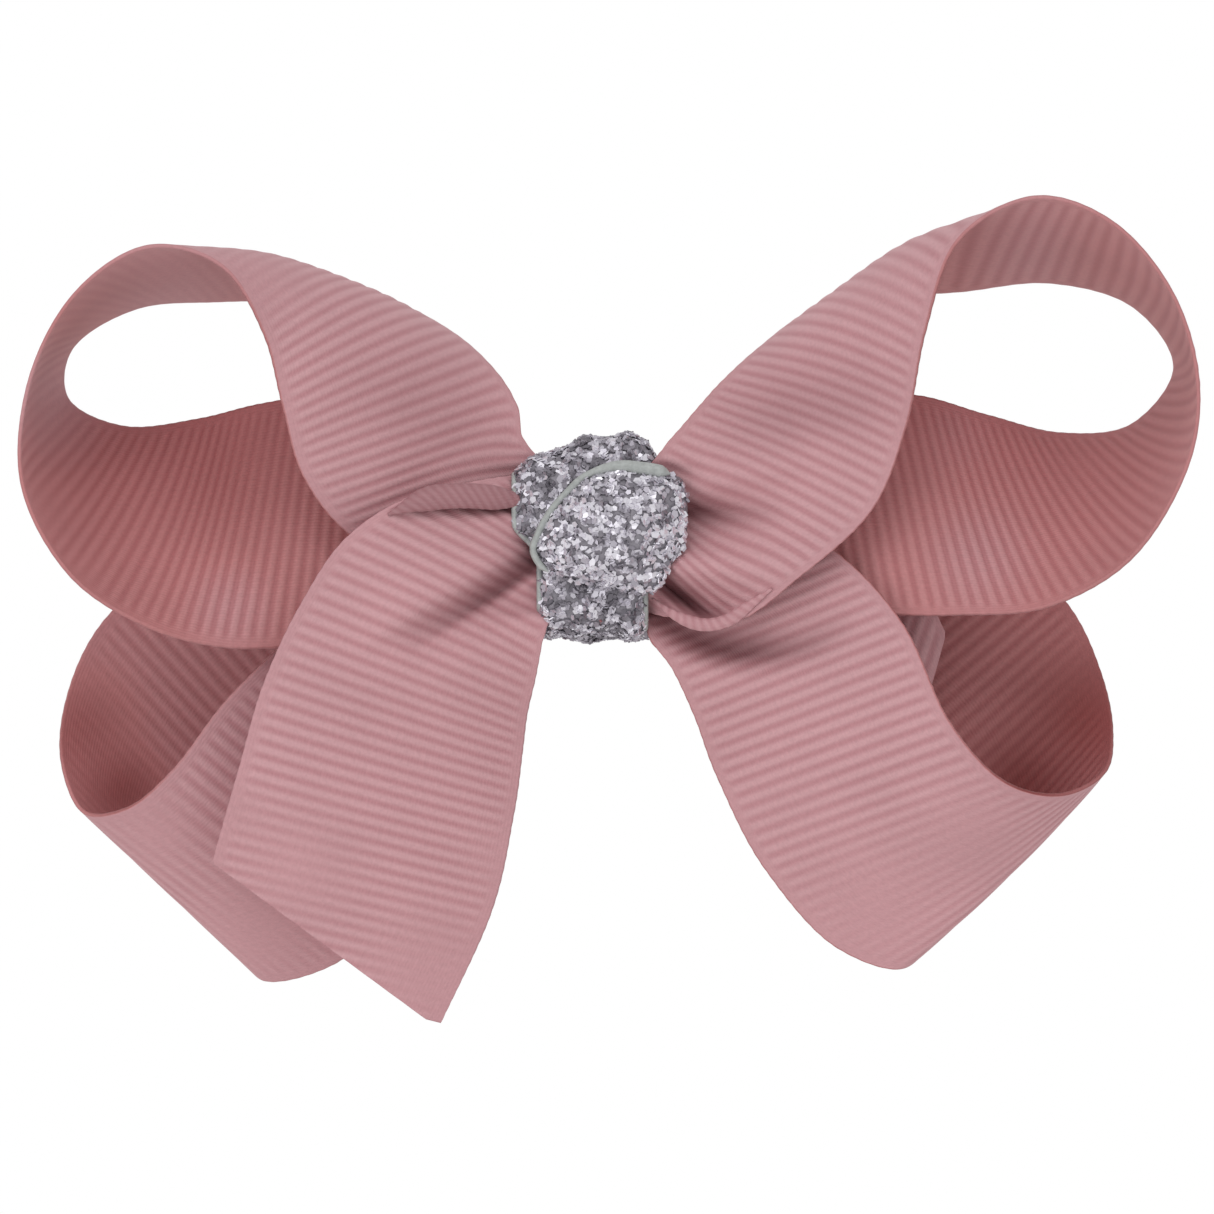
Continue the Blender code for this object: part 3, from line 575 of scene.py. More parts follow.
upperRight = {
    "node": "upper_right_loop", "side": 1, "layers": (4, 2), "piece": "upperRightLoop",
    "insideShade": 0.45, "deepShade": [(33.9, -1.8, 7.0, 0.2), (32.0, 10.0, 5.0, 0.35), (38.4, 26.8, 8.0, 0.15)],
    "calm": [
        (25.9, 22.3, 7.0, 0.4), (51.5, 4.0, 4.0, 0.6), (43.0, 6.5, 4.0, 0.5), (33.5, -2.0, 9.0, -0.8),
        (17.9, 0.0, 5.0, -0.4),
        (11.6, -4.5, 5.0, -0.5),
    ],
    "folds": [
        {"flanks": (4.0, 3.5),
         "line": [(9.0, 9.6, 0), (18.0, 11.6, 0.4), (25.0, 12.0, 0.3), (30.0, 13.0, 0)],
         "foldShade": [0.05, 0.26, 0.22, 0]},
        {"flanks": (5.5, 1.9),
         "line": [(4.0, 5.6, -1.8), (8.0, 5.4, -2.2), (13.0, 6.2, -1.8), (19.0, 8.0, -0.9), (25.0, 10.5, 0)]},
        {"flanks": (1.2, 1.3),
         "line": [(4.0, 3.0, 1.2), (8.0, 2.6, 1.1), (12.0, 2.2, 0.6), (17.0, 2.8, 0)], "foldShade": [1.0, 0.95, 0.4, 0]},
        {"flanks": (2.2, 2.4),
         "line": [(4.0, -0.4, -1.6), (8.0, -1.8, -2.4), (13.0, -2.6, -2.0), (18.0, -2.0, -1.0), (23.0, 0, 0)]},
        {"flanks": (0.9, 0.8),
         "line": [(4.4, -2.6, 1.6), (7.4, -5.2, 1.6), (9.6, -6.8, 0.9), (12.0, -6.4, 0.2)],
         "foldShade": [1.0, 1.0, 0.8, 0]},
        {"flanks": (0.9, 1.0),
         "line": [(4.5, -5.0, -1.6), (7.4, -7.0, -2.0), (10.0, -7.8, -1.8), (13.0, -6.6, -1.2), (16.5, -3.8, 0)]},
    ],
    "rails": [
        (6.5, 9.2, -9.4, 11.6, -7.4, -11.0, 0.0, 0, 0, 8.0, -5.6),
        (8.6, 11.6, -8.2, 17.5, -3.5, -13.0, 0.6, 0.5, -0.8, 11.6, 1.0),
        (10.8, 14.0, -5.4, 24.1, 2.5, -14.4, 0, 0.8, -1.8, 15.6, 9.5),
        (14.2, 17.1, -2.5, 27.2, 10.0, -16.0, -1.2, 1.2, -2.4, 20.4, 17.7),
        (18.8, 20.4, 1.0, 28.9, 18.5, -17.4, -1.8, 1.9, -1.8, 25.6, 26.3),
        (25.0, 22.0, 4.2, 31.6, 26.3, -18.2, -1.2, 2.2, 0, 30.8, 33.2),
        (32.5, 22.6, 5.8, 38.4, 30.4, -18.4, 0, 0.6, 0, 35.8, 37.4),
        (40.5, 23.4, 6.2, 45.5, 28.2, -18.4, 0.3, 0.6, 0, 41.2, 43.8),
        (48.2, 21.2, 6.0, 51.1, 21.4, -18.4, 0.6, 0.3, 0, 47.3, 50.3),
        (51.9, 15.5, 5.4, 53.2, 13.2, -18.0, 0.5, 0, 0, 53.5, 57.1),
        (48.0, 10.4, 4.4, 52.0, 6.0, -17.2, 0.6, -0.4, 0, 60.1, 62.6),
        (41.5, 9.6, 2.8, 47.3, -1.6, -15.6, 0.5, -0.8, 0, 67.4, 70.5),
        (34.8, 11.2, -0.6, 40.0, -5.9, -13.8, 0, -0.6, 0.6, 76.3, 78.4),
        (28.0, 13.0, -3.2, 31.5, -6.7, -12.0, 0, 0, 0.4, 85.2, 86.6),
        (19.5, 12.2, -5.6, 21.5, -6.6, -10.2, 95.0, 96.3),
        (11.5, 9.4, -7.0, 12.5, -6.8, -8.5, 104.4, 105.0),
    ],
}
lowerRight = {
    "node": "lower_right_loop", "side": 1, "layers": (3, 0), "piece": "lowerRightLoop",
    "insideShade": 0.55, "deepShade": [(43.5, -16.0, 11.0, 1.0), (38.0, -22.0, 7.0, 1.0)],
    "calm": [(24.5, -33.0, 12.0, 0.95), (33.0, -26.5, 9.0, 0.9), (44.5, -13.0, 8.0, 0.9), (17.0, -24.0, 6.0, 0.3)],
    "folds": [
        {"flanks": (1.7, 6.0),
         "line": [(3.6, -9.0, -0.8), (7.0, -11.0, -1.3), (11.0, -12.4, -1.2), (16.0, -13.0, -0.7), (22.0, -13.0, 0)]},
        {"flanks": (2.0, 1.1),
         "line": [(5.0, -6.6, 0.4), (9.0, -9.0, 0.9), (13.0, -10.0, 0.9), (18.0, -9.6, 0.4), (23.0, -7.0, 0)],
         "foldShade": [0.7, 0.8, 0.75, 0.4, 0]},
    ],
    "rails": [
        (13.0, 4.0, -8.6, 4.4, -8.8, -8.5, 12.6, 23.4),
        (21.7, -1.6, -11.2, 6.5, -11.6, -8.0, 23.1, 27.1),
        (26.9, -7.4, -13.2, 8.4, -15.6, -7.2, 30.8, 31.7),
        (31.1, -16.2, -14.6, 10.6, -21.4, -6.2, 40.5, 38.2),
        (36.3, -21.7, -14.6, 14.9, -29.6, -6.0, 47.5, 47.3),
        (41.8, -22.6, -12.6, 21.2, -36.5, -6.4, 0.2, -0.2, 0, 53.0, 56.4),
        (45.2, -20.6, -9.0, 26.7, -38.4, -6.6, 0.5, -0.5, 0, 58.7, 61.6),
        (45.9, -17.0, -5.6, 29.6, -35.4, -4.4, 64.2, 64.7),
        (45.0, -12.0, -3.2, 28.0, -30.0, -2.4, 70.6, 69.7),
        (41.9, -5.6, -2.2, 24.2, -23.2, -2.2, 78.3, 76.5),
        (35.0, 0.0, -2.6, 18.8, -17.6, -2.8, 87.7, 83.6),
        (25.5, 4.4, -3.4, 14.0, -13.6, -3.6, 98.5, 89.4),
        (15.0, 6.6, -4.4, 10.0, -9.8, -4.6, 109.5, 94.6),
    ],
}
lowerLeft = {
    "node": "lower_left_loop", "side": -1, "layers": (1, 0), "piece": "lowerLeftLoop",
    "insideShade": 0.3, "deepShade": [(-47.0, -17.0, 9.0, 0.78), (-43.0, -22.5, 6.0, 0.85)],
    "calm": [(-46.0, -14.0, 9.0, 0.9), (-43.7, -21.4, 8.0, 0.9), (-30.4, -34.5, 12.0, 1.0), (-39.5, -26.0, 7.0, 0.9)],
    "rails": [
        (-14.0, 4.0, -6.2, -7.4, -9.0, -6.3, 13.6, 17.1),
        (-22.0, -2.0, -7.6, -8.0, -13.4, -5.4, 23.5, 21.8),
        (-28.6, -9.4, -9.8, -9.6, -18.6, -3.8, 33.4, 27.6),
        (-33.6, -14.6, -11.6, -12.6, -25.2, -3.0, 40.5, 35.3),
        (-38.2, -20.6, -12.0, -17.6, -32.0, -3.6, 47.7, 44.0),
        (-42.4, -24.0, -11.2, -23.7, -37.9, -3.6, 52.5, 52.7),
        (-46.4, -24.2, -8.0, -30.1, -39.5, -2.2, 56.9, 59.8),
        (-48.3, -19.8, -5.2, -32.0, -36.2, 0.6, 62.0, 64.2),
        (-47.9, -14.1, -3.0, -30.0, -30.6, 2.2, 67.9, 70.3),
        (-44.6, -7.2, -2.0, -25.4, -24.2, 1.8, 75.7, 78.4),
        (-36.0, -0.6, -2.6, -19.8, -18.2, 0.0, 86.1, 87.1),
        (-26.0, 4.0, -3.4, -14.4, -13.8, -2.6, 97.2, 94.6),
        (-15.0, 6.6, -4.4, -10.0, -9.8, -4.2, 108.5, 100.8),
    ],
}
frontTail = {
    "node": "front_tail", "side": -1, "layers": (4, None), "piece": "frontTail",
    "calm": [(-26.5, -29.5, 9.0, 0.7), (-15.2, -39.3, 11.0, 0.95), (-32.0, -24.0, 4.0, 0.7), (-9.5, -28.0, 5.0, 0.6)],
    "folds": [
        {"flanks": (4.6, 0.9),
         "line": [(-22.0, -9.6, 0), (-17.0, -6.8, -1.4), (-12.0, -4.0, -2.2), (-8.0, -1.4, -1.8), (-5.0, 0.2, -0.8)]},
        {"flanks": (0.8, 0.7),
         "line": [(-18.5, 3.4, 0), (-15.0, 4.6, -0.9), (-11.0, 4.5, -1.0), (-7.5, 4.2, -0.3), (-5.0, 3.8, 0)]},
        {"flanks": (0.7, 0.7),
         "line": [(-19.0, 1.8, 0), (-15.0, 3.0, 0.4), (-11.0, 3.0, 0.8), (-7.5, 2.8, 1.0), (-4.0, 2.6, 0.8)],
         "foldShade": [0, 0.25, 0.6, 1.0, 1.0]},
        {"flanks": (1.7, 0.5),
         "line": [(-18.0, -10.2, 0), (-13.0, -7.2, 0.6), (-9.0, -4.6, 1.1), (-4.0, -1.4, 1.2)],
         "foldShade": [0, 0.4, 0.7, 1.0]},
        {"flanks": (1.8, 6.0),
         "line": [(-17.0, -14.0, 0), (-12.0, -11.2, -0.8), (-8.0, -8.4, -1.3), (-4.0, -5.6, -1.4)]},
    ],
    "rails": [
        (-12.6, 4.8, -12.0, -5.1, -8.7, -9.8, 8.4, 18.1),
        (-17.9, 3.4, -13.7, -5.5, -10.6, -9.8, 12.7, 20.0),
        (-22.6, 0.2, -15.0, -5.9, -12.6, -9.8, 0, 0, -0.4, 17.7, 22.5),
        (-26.7, -5.8, -16.0, -6.6, -15.6, -9.4, 0, 0, -1.0, 24.5, 25.9),
        (-29.8, -12.4, -16.6, -7.0, -18.8, -9.4, 0, 0, -1.2, 31.4, 29.9),
        (-32.2, -20.5, -16.4, -7.8, -24.6, -9.8, 0, 0, -1.2, 39.6, 36.6),
        (-34.4, -28.2, -15.2, -10.2, -34.4, -10.6, 0, 0, -1.0, 47.7, 47.7),
        (-34.5, -28.8, -15.0, -14.5, -43.6, -11.4, 0, 0, -0.6, 48.4, 58.6),
    ],
}
backTail = {
    "node": "back_tail", "side": 1, "layers": (1, None), "piece": "backTail",
    "rails": [
        (12.0, 5.0, -5.8, 9.6, -9.4, -6.2, 12.0, 12.0),
        (18.0, 1.6, -6.0, 14.4, -15.0, -5.8, 19.0, 19.0),
        (24.0, -2.0, -7.0, 18.4, -23.2, -5.4, 26.0, 27.0),
        (29.4, -5.6, -8.0, 22.8, -29.2, -5.4, 32.5, 34.0),
        (30.9, -8.4, -6.6, 24.6, -31.6, -5.0, 35.0, 36.0),
    ],
}

# where a selvage has rolled over on itself beside the knot: a slim half-round hem, its ribs short across it.
# Places in mm, x and z, and the depth is found from the ribbon it lies on.
hemShape = {
    "columns": 14,
    "from": -78,  # degrees round the roll
    "sweep": 200,
    "flatness": 0.7,
    "sink": 0.12,
    "taper": 5,  # mm over which each end runs out, and the share that is left at the tip
    "tip": 0.12,
    "relief": 0.6,
    "thickness": 0.2,
}
hems = [
    # each hem's crease value is painted shade laid over the whole hem, for the shade of its roll
    {"piece": "frontTailHem", "on": "frontTail", "radius": 1.05, "slant": 0.8, "crease": 0.45,
     "line": [(-19.0, 2.2), (-15.5, 3.6), (-12.0, 3.9), (-9.0, 3.7), (-5.6, 3.3)]},
    {"piece": "upperRightHem", "on": "upperRightLoop", "radius": 0.5, "slant": 0.5, "crease": 0.1,
     "line": [(4.6, -5.2), (6.6, -6.7), (9.2, -7.6), (11.4, -7.2), (13.4, -5.8), (15.4, -4.3)]},
]


def makeHem(hem):
    points = np.array([tuple(v.co) for v in bpy.data.objects[hem["on"]].data.vertices]) / mm
    line = curveThrough([(x, z, 0) for x, z in hem["line"]], 200)[:, :2]
    run = runAlong(line)

    def placeAt(at):
        return np.array((np.interp(at, run, line[:, 0]), np.interp(at, run, line[:, 1])))

    knots = np.linspace(0, run[-1], 7)
    depth = []
    for at in knots:
        near = np.hypot(*(points[:, [0, 2]] - placeAt(at)).T) < 0.9
        depth.append(points[near, 1].min() if near.any() else np.nan)
    depth = np.interp(knots, knots[~np.isnan(depth)], np.array(depth)[~np.isnan(depth)])
    rows = np.arange(0.1, run[-1] - 0.1, ribbon["hemPitch"] / ribbon["rowsPerRib"])
    columns = hemShape["columns"]
    grid, along, across = [], [], []
    for at in rows:
        step = 0.2 if at + 0.2 <= run[-1] else -0.2
        x, z = placeAt(at)
        aheadX, aheadZ = (placeAt(at + step) - (x, z)) * math.copysign(1, step)
        length = math.hypot(aheadX, aheadZ)
        radius = hem["radius"] * float(easeStep(min(at, run[-1] - at) / hemShape["taper"] + hemShape["tip"]))
        y = np.interp(at, knots, depth) + hemShape["sink"]
        for c in range(columns):
            swept = math.radians(hemShape["sweep"] * c / (columns - 1))
            angle = math.radians(hemShape["from"]) + swept
            side, front = radius * math.sin(angle), radius * math.cos(angle)
            grid.append((x - aheadZ / length * side, y - hemShape["flatness"] * front, z + aheadX / length * side))
            along.append((at + hem["slant"] * side) * grosgrain["ribPitch"] / ribbon["hemPitch"])
            across.append(radius * swept)
    mesh = meshFrom(hem["piece"], np.array(grid) * mm, gridFaces(len(rows), columns))
    if sum(p.normal.y * p.area for p in mesh.polygons) > 0:
        mesh.flip_normals()
    same = np.ones(len(grid))
    return ribbedPiece(hem["piece"], mesh, ribbon["ribHeight"] * 0.5, hemShape["thickness"], 0, {
        "along": along, "across": across, "relief": same * hemShape["relief"], "crease": same * hem["crease"],
    })


for lobe in (upperLeft, upperRight, lowerRight, lowerLeft, frontTail, backTail):
    made, length = makeLobe(lobe["piece"], lobe)
    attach(made, "bow")
    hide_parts(lobe["node"])
    rolled = [makeHem(hem) for hem in hems if hem["on"] == lobe["piece"]]
    for strip in rolled:
        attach(strip, "bow")
    print(lobe["piece"], "made,", round(length / mm), "mm of ribbon,", len(made.data.polygons), "faces")


# the centre's glitter ribbon: a dull woven base under flakes of metal foil, charcoal in its gaps, with
# satin grey-green selvage yarn. Sizes in mm.
centre = {
    "bandThickness": 0.45,
    "bandCorner": 3.4,
    "bandSpan": [(-1.15, 6.5), (-0.7, 4.7), (-0.3, 5.4)],  # middle and half width: front upper, front lower, back
    "crumple": 0.45,
    "turnRise": 2.5,
    "turnCentre": (0.9, 1.0),
    "turnEdge": [
        (7.7, 4.0), (7.3, 5.4), (5.7, 6.0), (3.4, 6.4), (1.0, 6.5), (-1.5, 5.6), (-3.0, 4.2), (-4.6, 2.3),
        (-5.6, 0.4), (-6.0, -0.9), (-5.3, -2.3), (-3.8, -3.3), (-1.5, -3.8), (1.0, -4.2), (3.4, -4.8), (5.2, -4.4),
        (6.3, -2.3), (7.4, -0.7), (7.8, 1.7),
    ],
    "crown": [(-8.0, -2.0), (-5.9, -1.7), (-4.4, -1.1), (-1.5, 0.0), (2.5, 0.5), (4.0, -0.1), (5.6, -1.8)],
    "hem": [(-5.6, 1.4), (-4.7, 0.5), (-3.0, 0.3), (0.0, 1.1), (1.6, 1.0), (2.5, 0.2), (4.0, 0.3)],
    "flakeSize": 0.80,
    "flakeThickness": 0.10,
    "flakesPerSquareMm": 6.5,
    "flakeLift": 0.10,
    "flakeTilt": 0.6,
    "clumps": 1.05,  # mm between the bright clumps
    "selvageRadius": 0.30,
    "turnSelvage": [(6.2, 5.8), (-4.6, -2.9)],  # where the turn's selvage starts and ends, x and z
    "foldGirth": 2.1,
    "edgeGirth": 1.1,
    "selvage": "#abafad",
    "clothDark": "#6c6970",
    "clothPale": "#a19ca5",
    "flakeTones": [(0.0, "#757179"), (0.28, "#948f98"), (0.5, "#b2adb7"), (0.75, "#cac6d0"), (1.0, "#e7e4ec")],
    "bandShadeTone": -0.12,  # painted shade: the band's flakes are painted darker, as it lies back in the shade of the turn
    # painted light: the turn's flakes are painted lighter, as it faces the light
    "turnLightTone": 0.26,
}


def glitterMaterials():
    cloth, tree, shader = newMaterial("glitterRibbonCloth")
    coords = addNode(tree, "ShaderNodeTexCoord")
    weave = addNode(tree, "ShaderNodeTexNoise", {"Vector": coords.outputs["Object"], "Scale": 1400.0, "Detail": 3.0})
    dye = addNode(tree, "ShaderNodeMix", {
        "Factor": weave.outputs["Fac"], "A": linearFromHex(centre["clothDark"]),
        "B": linearFromHex(centre["clothPale"]),
    }, data_type="RGBA")
    bump = addNode(tree, "ShaderNodeBump", {"Strength": 0.6, "Distance": 0.0002, "Height": weave.outputs["Fac"]})
    setInputs(shader, {"Base Color": dye.outputs["Result"], "Normal": bump, "Roughness": 0.5, "Metallic": 0.4})
    flake, tree, shader = newMaterial("glitterFoil")
    tone = addNode(tree, "ShaderNodeAttribute", attribute_name="tone")
    ramp = addNode(tree, "ShaderNodeValToRGB", {"Fac": tone.outputs["Fac"]})
    stops = ramp.color_ramp.elements
    for k, (place, code) in enumerate(centre["flakeTones"]):
        stop = stops[k] if k < len(stops) else stops.new(place)
        stop.position = place
        stop.color = linearFromHex(code)
    setInputs(shader, {"Base Color": ramp, "Roughness": 0.36, "Metallic": 0.6})
    yarn, tree, shader = newMaterial("satinSelvageYarn")
    mottle(tree, shader, centre["selvage"], 2200.0, 2.0, (0.3, 0.7), (0.86, 1.1))
    setInputs(shader, {"Roughness": 0.42})
    return cloth, flake, yarn


glitterCloth, glitterFoil, selvageYarn = glitterMaterials()


def flakeTree():
    tree, given, result = newTree("glitterFlakes", [
        ("Density", "Float"), ("Flake Radius", "Float"), ("Flake Thickness", "Float"), ("Lift", "Float"),
        ("Tilt", "Float"), ("Clump Spacing", "Float"), ("Tone", "Float"), ("Seed", "Int"), ("Material", "Material"),
    ])
    spots = addNode(tree, "GeometryNodeDistributePointsOnFaces", {
        "Mesh": given.outputs["Geometry"], "Density": given.outputs["Density"], "Seed": given.outputs["Seed"],
    }, distribute_method="RANDOM")
    # bright flakes lie in clumps with dark gaps between
    chance = addNode(tree, "FunctionNodeRandomValue", {2: -0.22, 3: 0.34, "Seed": 11}, data_type="FLOAT")
    spot = addNode(tree, "GeometryNodeInputPosition")
    scale = addNode(tree, "ShaderNodeMath", {0: 1.0, 1: given.outputs["Clump Spacing"]}, operation="DIVIDE")
    clump = addNode(tree, "ShaderNodeTexNoise", {"Vector": spot, "Scale": scale, "Detail": 1.0})
    bright = addNode(tree, "ShaderNodeMapRange", {"Value": clump.outputs["Fac"], "From Min": 0.34, "From Max": 0.62})
    # Tone shifts every flake by the piece's painted light, lighter on the turn and darker on the band
    level = addNode(tree, "ShaderNodeMath", {0: chance.outputs[1], 1: given.outputs["Tone"]}, operation="ADD")
    tone = addNode(tree, "ShaderNodeMath", {0: bright.outputs["Result"], 1: level}, operation="ADD", use_clamp=True)
    raised = addNode(tree, "ShaderNodeVectorMath", {
        0: spots.outputs["Normal"], "Scale": given.outputs["Lift"],
    }, operation="SCALE")
    lifted = addNode(tree, "GeometryNodeSetPosition", {"Geometry": spots.outputs["Points"], "Offset": raised})
    toned = addNode(tree, "GeometryNodeStoreNamedAttribute", {
        "Geometry": lifted, "Name": "tone", "Value": tone,
    }, data_type="FLOAT", domain="POINT")
    plate = addNode(tree, "GeometryNodeMeshCylinder", {
        "Vertices": 5, "Radius": given.outputs["Flake Radius"], "Depth": given.outputs["Flake Thickness"],
    }, fill_type="NGON")
    tiltUp = addNode(tree, "ShaderNodeCombineXYZ", {
        "X": given.outputs["Tilt"], "Y": given.outputs["Tilt"], "Z": math.pi,
    })
    tiltDown = addNode(tree, "ShaderNodeVectorMath", {0: tiltUp, "Scale": -1.0}, operation="SCALE")
    lean = addNode(tree, "FunctionNodeRandomValue", {0: tiltDown, 1: tiltUp, "Seed": 5}, data_type="FLOAT_VECTOR")
    turned = addNode(tree, "FunctionNodeEulerToRotation", {0: lean})
    facing = addNode(tree, "FunctionNodeRotateRotation", {
        0: spots.outputs["Rotation"], 1: turned,
    }, rotation_space="LOCAL")
    size = addNode(tree, "FunctionNodeRandomValue", {
        0: (0.55, 0.4, 1.0), 1: (1.15, 0.95, 1.0), "Seed": 8,
    }, data_type="FLOAT_VECTOR")
    placed = addNode(tree, "GeometryNodeInstanceOnPoints", {
        "Points": toned, "Instance": plate.outputs["Mesh"], "Rotation": facing, "Scale": size,
    })
    return endTree(tree, placed.outputs[0], given, result)


glitterFlakes = flakeTree()


def cordTree():
    tree, given, result = newTree("roundCord", [("Radius", "Float"), ("Sides", "Int"), ("Material", "Material")])
    line = addNode(tree, "GeometryNodeMeshToCurve", {0: given.outputs["Geometry"]})
    ring = addNode(tree, "GeometryNodeCurvePrimitiveCircle", {
        "Resolution": given.outputs["Sides"], "Radius": given.outputs["Radius"],
    })
    girth = addNode(tree, "GeometryNodeInputNamedAttribute", {"Name": "girth"}, data_type="FLOAT")
    tube = addNode(tree, "GeometryNodeCurveToMesh", {
        "Curve": line, "Profile Curve": ring, "Scale": girth, "Fill Caps": True,
    })
    smooth = addNode(tree, "GeometryNodeSetShadeSmooth", {"Geometry": tube})
    return endTree(tree, smooth.outputs[0], given, result)


roundCord = cordTree()


def makeCord(name, points, radius, sides, material, girth=None, closed=False):
    # points in mm, girth is the share of the radius at each point
    edges = [(k, k + 1) for k in range(len(points) - 1)] + ([(len(points) - 1, 0)] if closed else [])
    mesh = bpy.data.meshes.new(name)
    mesh.from_pydata([tuple(np.array(p) * mm) for p in points], edges, [])
    keepOnPoints(mesh, {"girth": np.ones(len(points)) if girth is None else girth})
    return runTree(mesh, roundCord, {"Radius": radius * mm, "Sides": sides, "Material": material}, name)


def crumple(x, z, seed, coarse=0.42, fine=1.1):
    big = noise.noise(Vector((x * coarse, z * coarse, seed)))
    small = noise.noise(Vector((x * fine, z * fine, seed + 7.3)))
    return big + 0.4 * small


def shell(name, grid, closedRows, closedColumns, thickness, material):
    # a closed sheet of the given thickness (mm) behind the grid of points (mm)
    faces = gridFaces(*grid.shape[:2], closedRows, closedColumns)
    made = addPiece(name, meshFrom(name, grid.reshape(-1, 3) * mm, faces))
    made.data.materials.append(material)
    wall = made.modifiers.new("wall", "SOLIDIFY")
    wall.thickness = thickness * mm
    wall.offset = -1
    made.data = plainMesh(made)
    made.data.shade_smooth()
    return made


def flakesOver(name, grid, closedRows, closedColumns, tone):
    # flakes lie on the grid's outer face, all shifted by tone, the piece's painted light and shade
    ground = meshFrom(name, grid.reshape(-1, 3) * mm, gridFaces(*grid.shape[:2], closedRows, closedColumns))
    return runTree(ground, glitterFlakes, {
        "Density": centre["flakesPerSquareMm"] * 1e6, "Flake Radius": centre["flakeSize"] / 2 * mm,
        "Flake Thickness": centre["flakeThickness"] * mm, "Lift": centre["flakeLift"] * mm,
        "Tilt": centre["flakeTilt"], "Clump Spacing": centre["clumps"] * mm, "Tone": tone, "Seed": 3,
        "Material": glitterFoil,
    }, name)


def bandGrid(rows=168, columns=30):
    # round the bundle: front, top, back and bottom, leaning to the left above the turn
    low, high = boxOf("knot_band")
    halfZ = high[2]
    middleY = (low[1] + high[1]) / 2
    outline, run = roundedRing((high[1] - low[1]) / 2, halfZ, centre["bandCorner"], 12)
    at = np.linspace(0, run[-1], rows, endpoint=False)
    y, z = middleY + np.interp(at, run, outline[:, 0]), np.interp(at, run, outline[:, 1])
    grid = np.zeros((rows, columns, 3))
    crownX, crownZ = np.array(centre["crown"]).T
    hemX, hemZ = np.array(centre["hem"]).T
    for r in range(rows):
        normal = Vector((0, y[(r + 1) % rows] - y[r - 1], z[(r + 1) % rows] - z[r - 1]))
        normal = Vector((0, normal.z, -normal.y)).normalized()
        front = float(easeStep((middleY + 3 - y[r]) / 6))
        upper = float(easeStep((z[r] + 2.0) / 4.0))
        (leanUpper, halfUpper), (leanLower, halfLower), (leanBack, halfBack) = centre["bandSpan"]
        middleX = front * (leanUpper * upper + leanLower * (1 - upper)) + leanBack * (1 - front)
        halfX = front * (halfUpper * upper + halfLower * (1 - upper)) + halfBack * (1 - front)
        for c in range(columns):
            v = 2 * c / (columns - 1) - 1
            x = middleX + v * halfX
            rolled = -0.8 * max(0, abs(v) - 0.82) / 0.18  # the selvages turn in
            lift = rolled + centre["crumple"] * (crumple(x, at[r], 2.0) + 0.15 * math.cos(1.5 * x + 0.25 * at[r]))
            rise = np.interp(x, crownX, crownZ) * max(0, z[r] / halfZ)
            rise += np.interp(x, hemX, hemZ) * max(0, -z[r] / halfZ) * front
            grid[r, c] = (x, y[r] + normal.y * lift, z[r] + normal.z * lift + rise)
    return grid


def turnGrid(rings=22, columns=96):
    edge = np.array(centre["turnEdge"] + centre["turnEdge"][:1])
    line = curveThrough(np.c_[edge, np.zeros(len(edge))], columns + 1)[:-1, :2]
    midX, midZ = centre["turnCentre"]
    backY = list(boxOf("knot_turn"))[1][1] - 0.1
    grid = np.zeros((rings, columns, 3))
    for r in range(rings):
        share = 0.03 + 0.97 * r / (rings - 1)
        for c in range(columns):
            x, z = midX + (line[c][0] - midX) * share, midZ + (line[c][1] - midZ) * share
            dome = 1 - share**3.2
            rough = 1.1 * crumple(x, z, 9.0) + 0.4 * crumple(x, z, 4.0, 1.3, 2.6)
            rough *= centre["crumple"] * min(1, 2.4 * (1 - share) + 0.35)
            grid[r, c] = (x, backY - centre["turnRise"] * dome - rough, z)
    return grid


# turned over, so that their faces point out
band, turn = bandGrid()[:, ::-1], turnGrid()[:, ::-1]
knotBand = shell("knotBand", band, True, False, centre["bandThickness"], glitterCloth)
knotTurn = shell("knotTurn", turn, False, True, centre["bandThickness"], glitterCloth)
bandFlakes = flakesOver("bandFlakes", band, True, False, centre["bandShadeTone"])
turnFlakes = flakesOver("turnFlakes", turn, False, True, centre["turnLightTone"])
bandSelvageLeft, bandSelvageRight = (
    makeCord(name, edge, centre["selvageRadius"], 8, selvageYarn, closed=True)
    for name, edge in (("bandSelvageLeft", band[:, -1]), ("bandSelvageRight", band[:, 0]))
)
# the turn's own selvage runs from the fat fold at its top right, over and down its left edge
rim = turn[-1, ::-1]
start, finish = (int(np.argmin(np.hypot(rim[:, 0] - x, rim[:, 2] - z))) for x, z in centre["turnSelvage"])
order = [(start + k) % len(rim) for k in range((finish - start) % len(rim) + 1)]
rimLine = rim[order] - (0, 0.45, 0)
runAt = np.linspace(0, 1, len(order))
girth = np.where(rimLine[:, 0] > 0.9, centre["foldGirth"], centre["edgeGirth"])
girth = np.convolve(np.pad(girth, 3, mode="edge"), np.ones(7) / 7, "valid")
girth = girth * easeStep(np.minimum(runAt, 1 - runAt) / 0.06 + 0.25)
turnSelvage = makeCord("turnSelvage", rimLine, centre["selvageRadius"], 10, selvageYarn, girth=girth)
for made, node in ((knotBand, "knot_band"), (knotTurn, "knot_turn")):
    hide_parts(node)
for made in (knotBand, knotTurn, bandFlakes, turnFlakes, bandSelvageLeft, bandSelvageRight, turnSelvage):
    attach(made, "bow")
print("centre made,", len(bandFlakes.data.polygons) + len(turnFlakes.data.polygons), "flake faces")

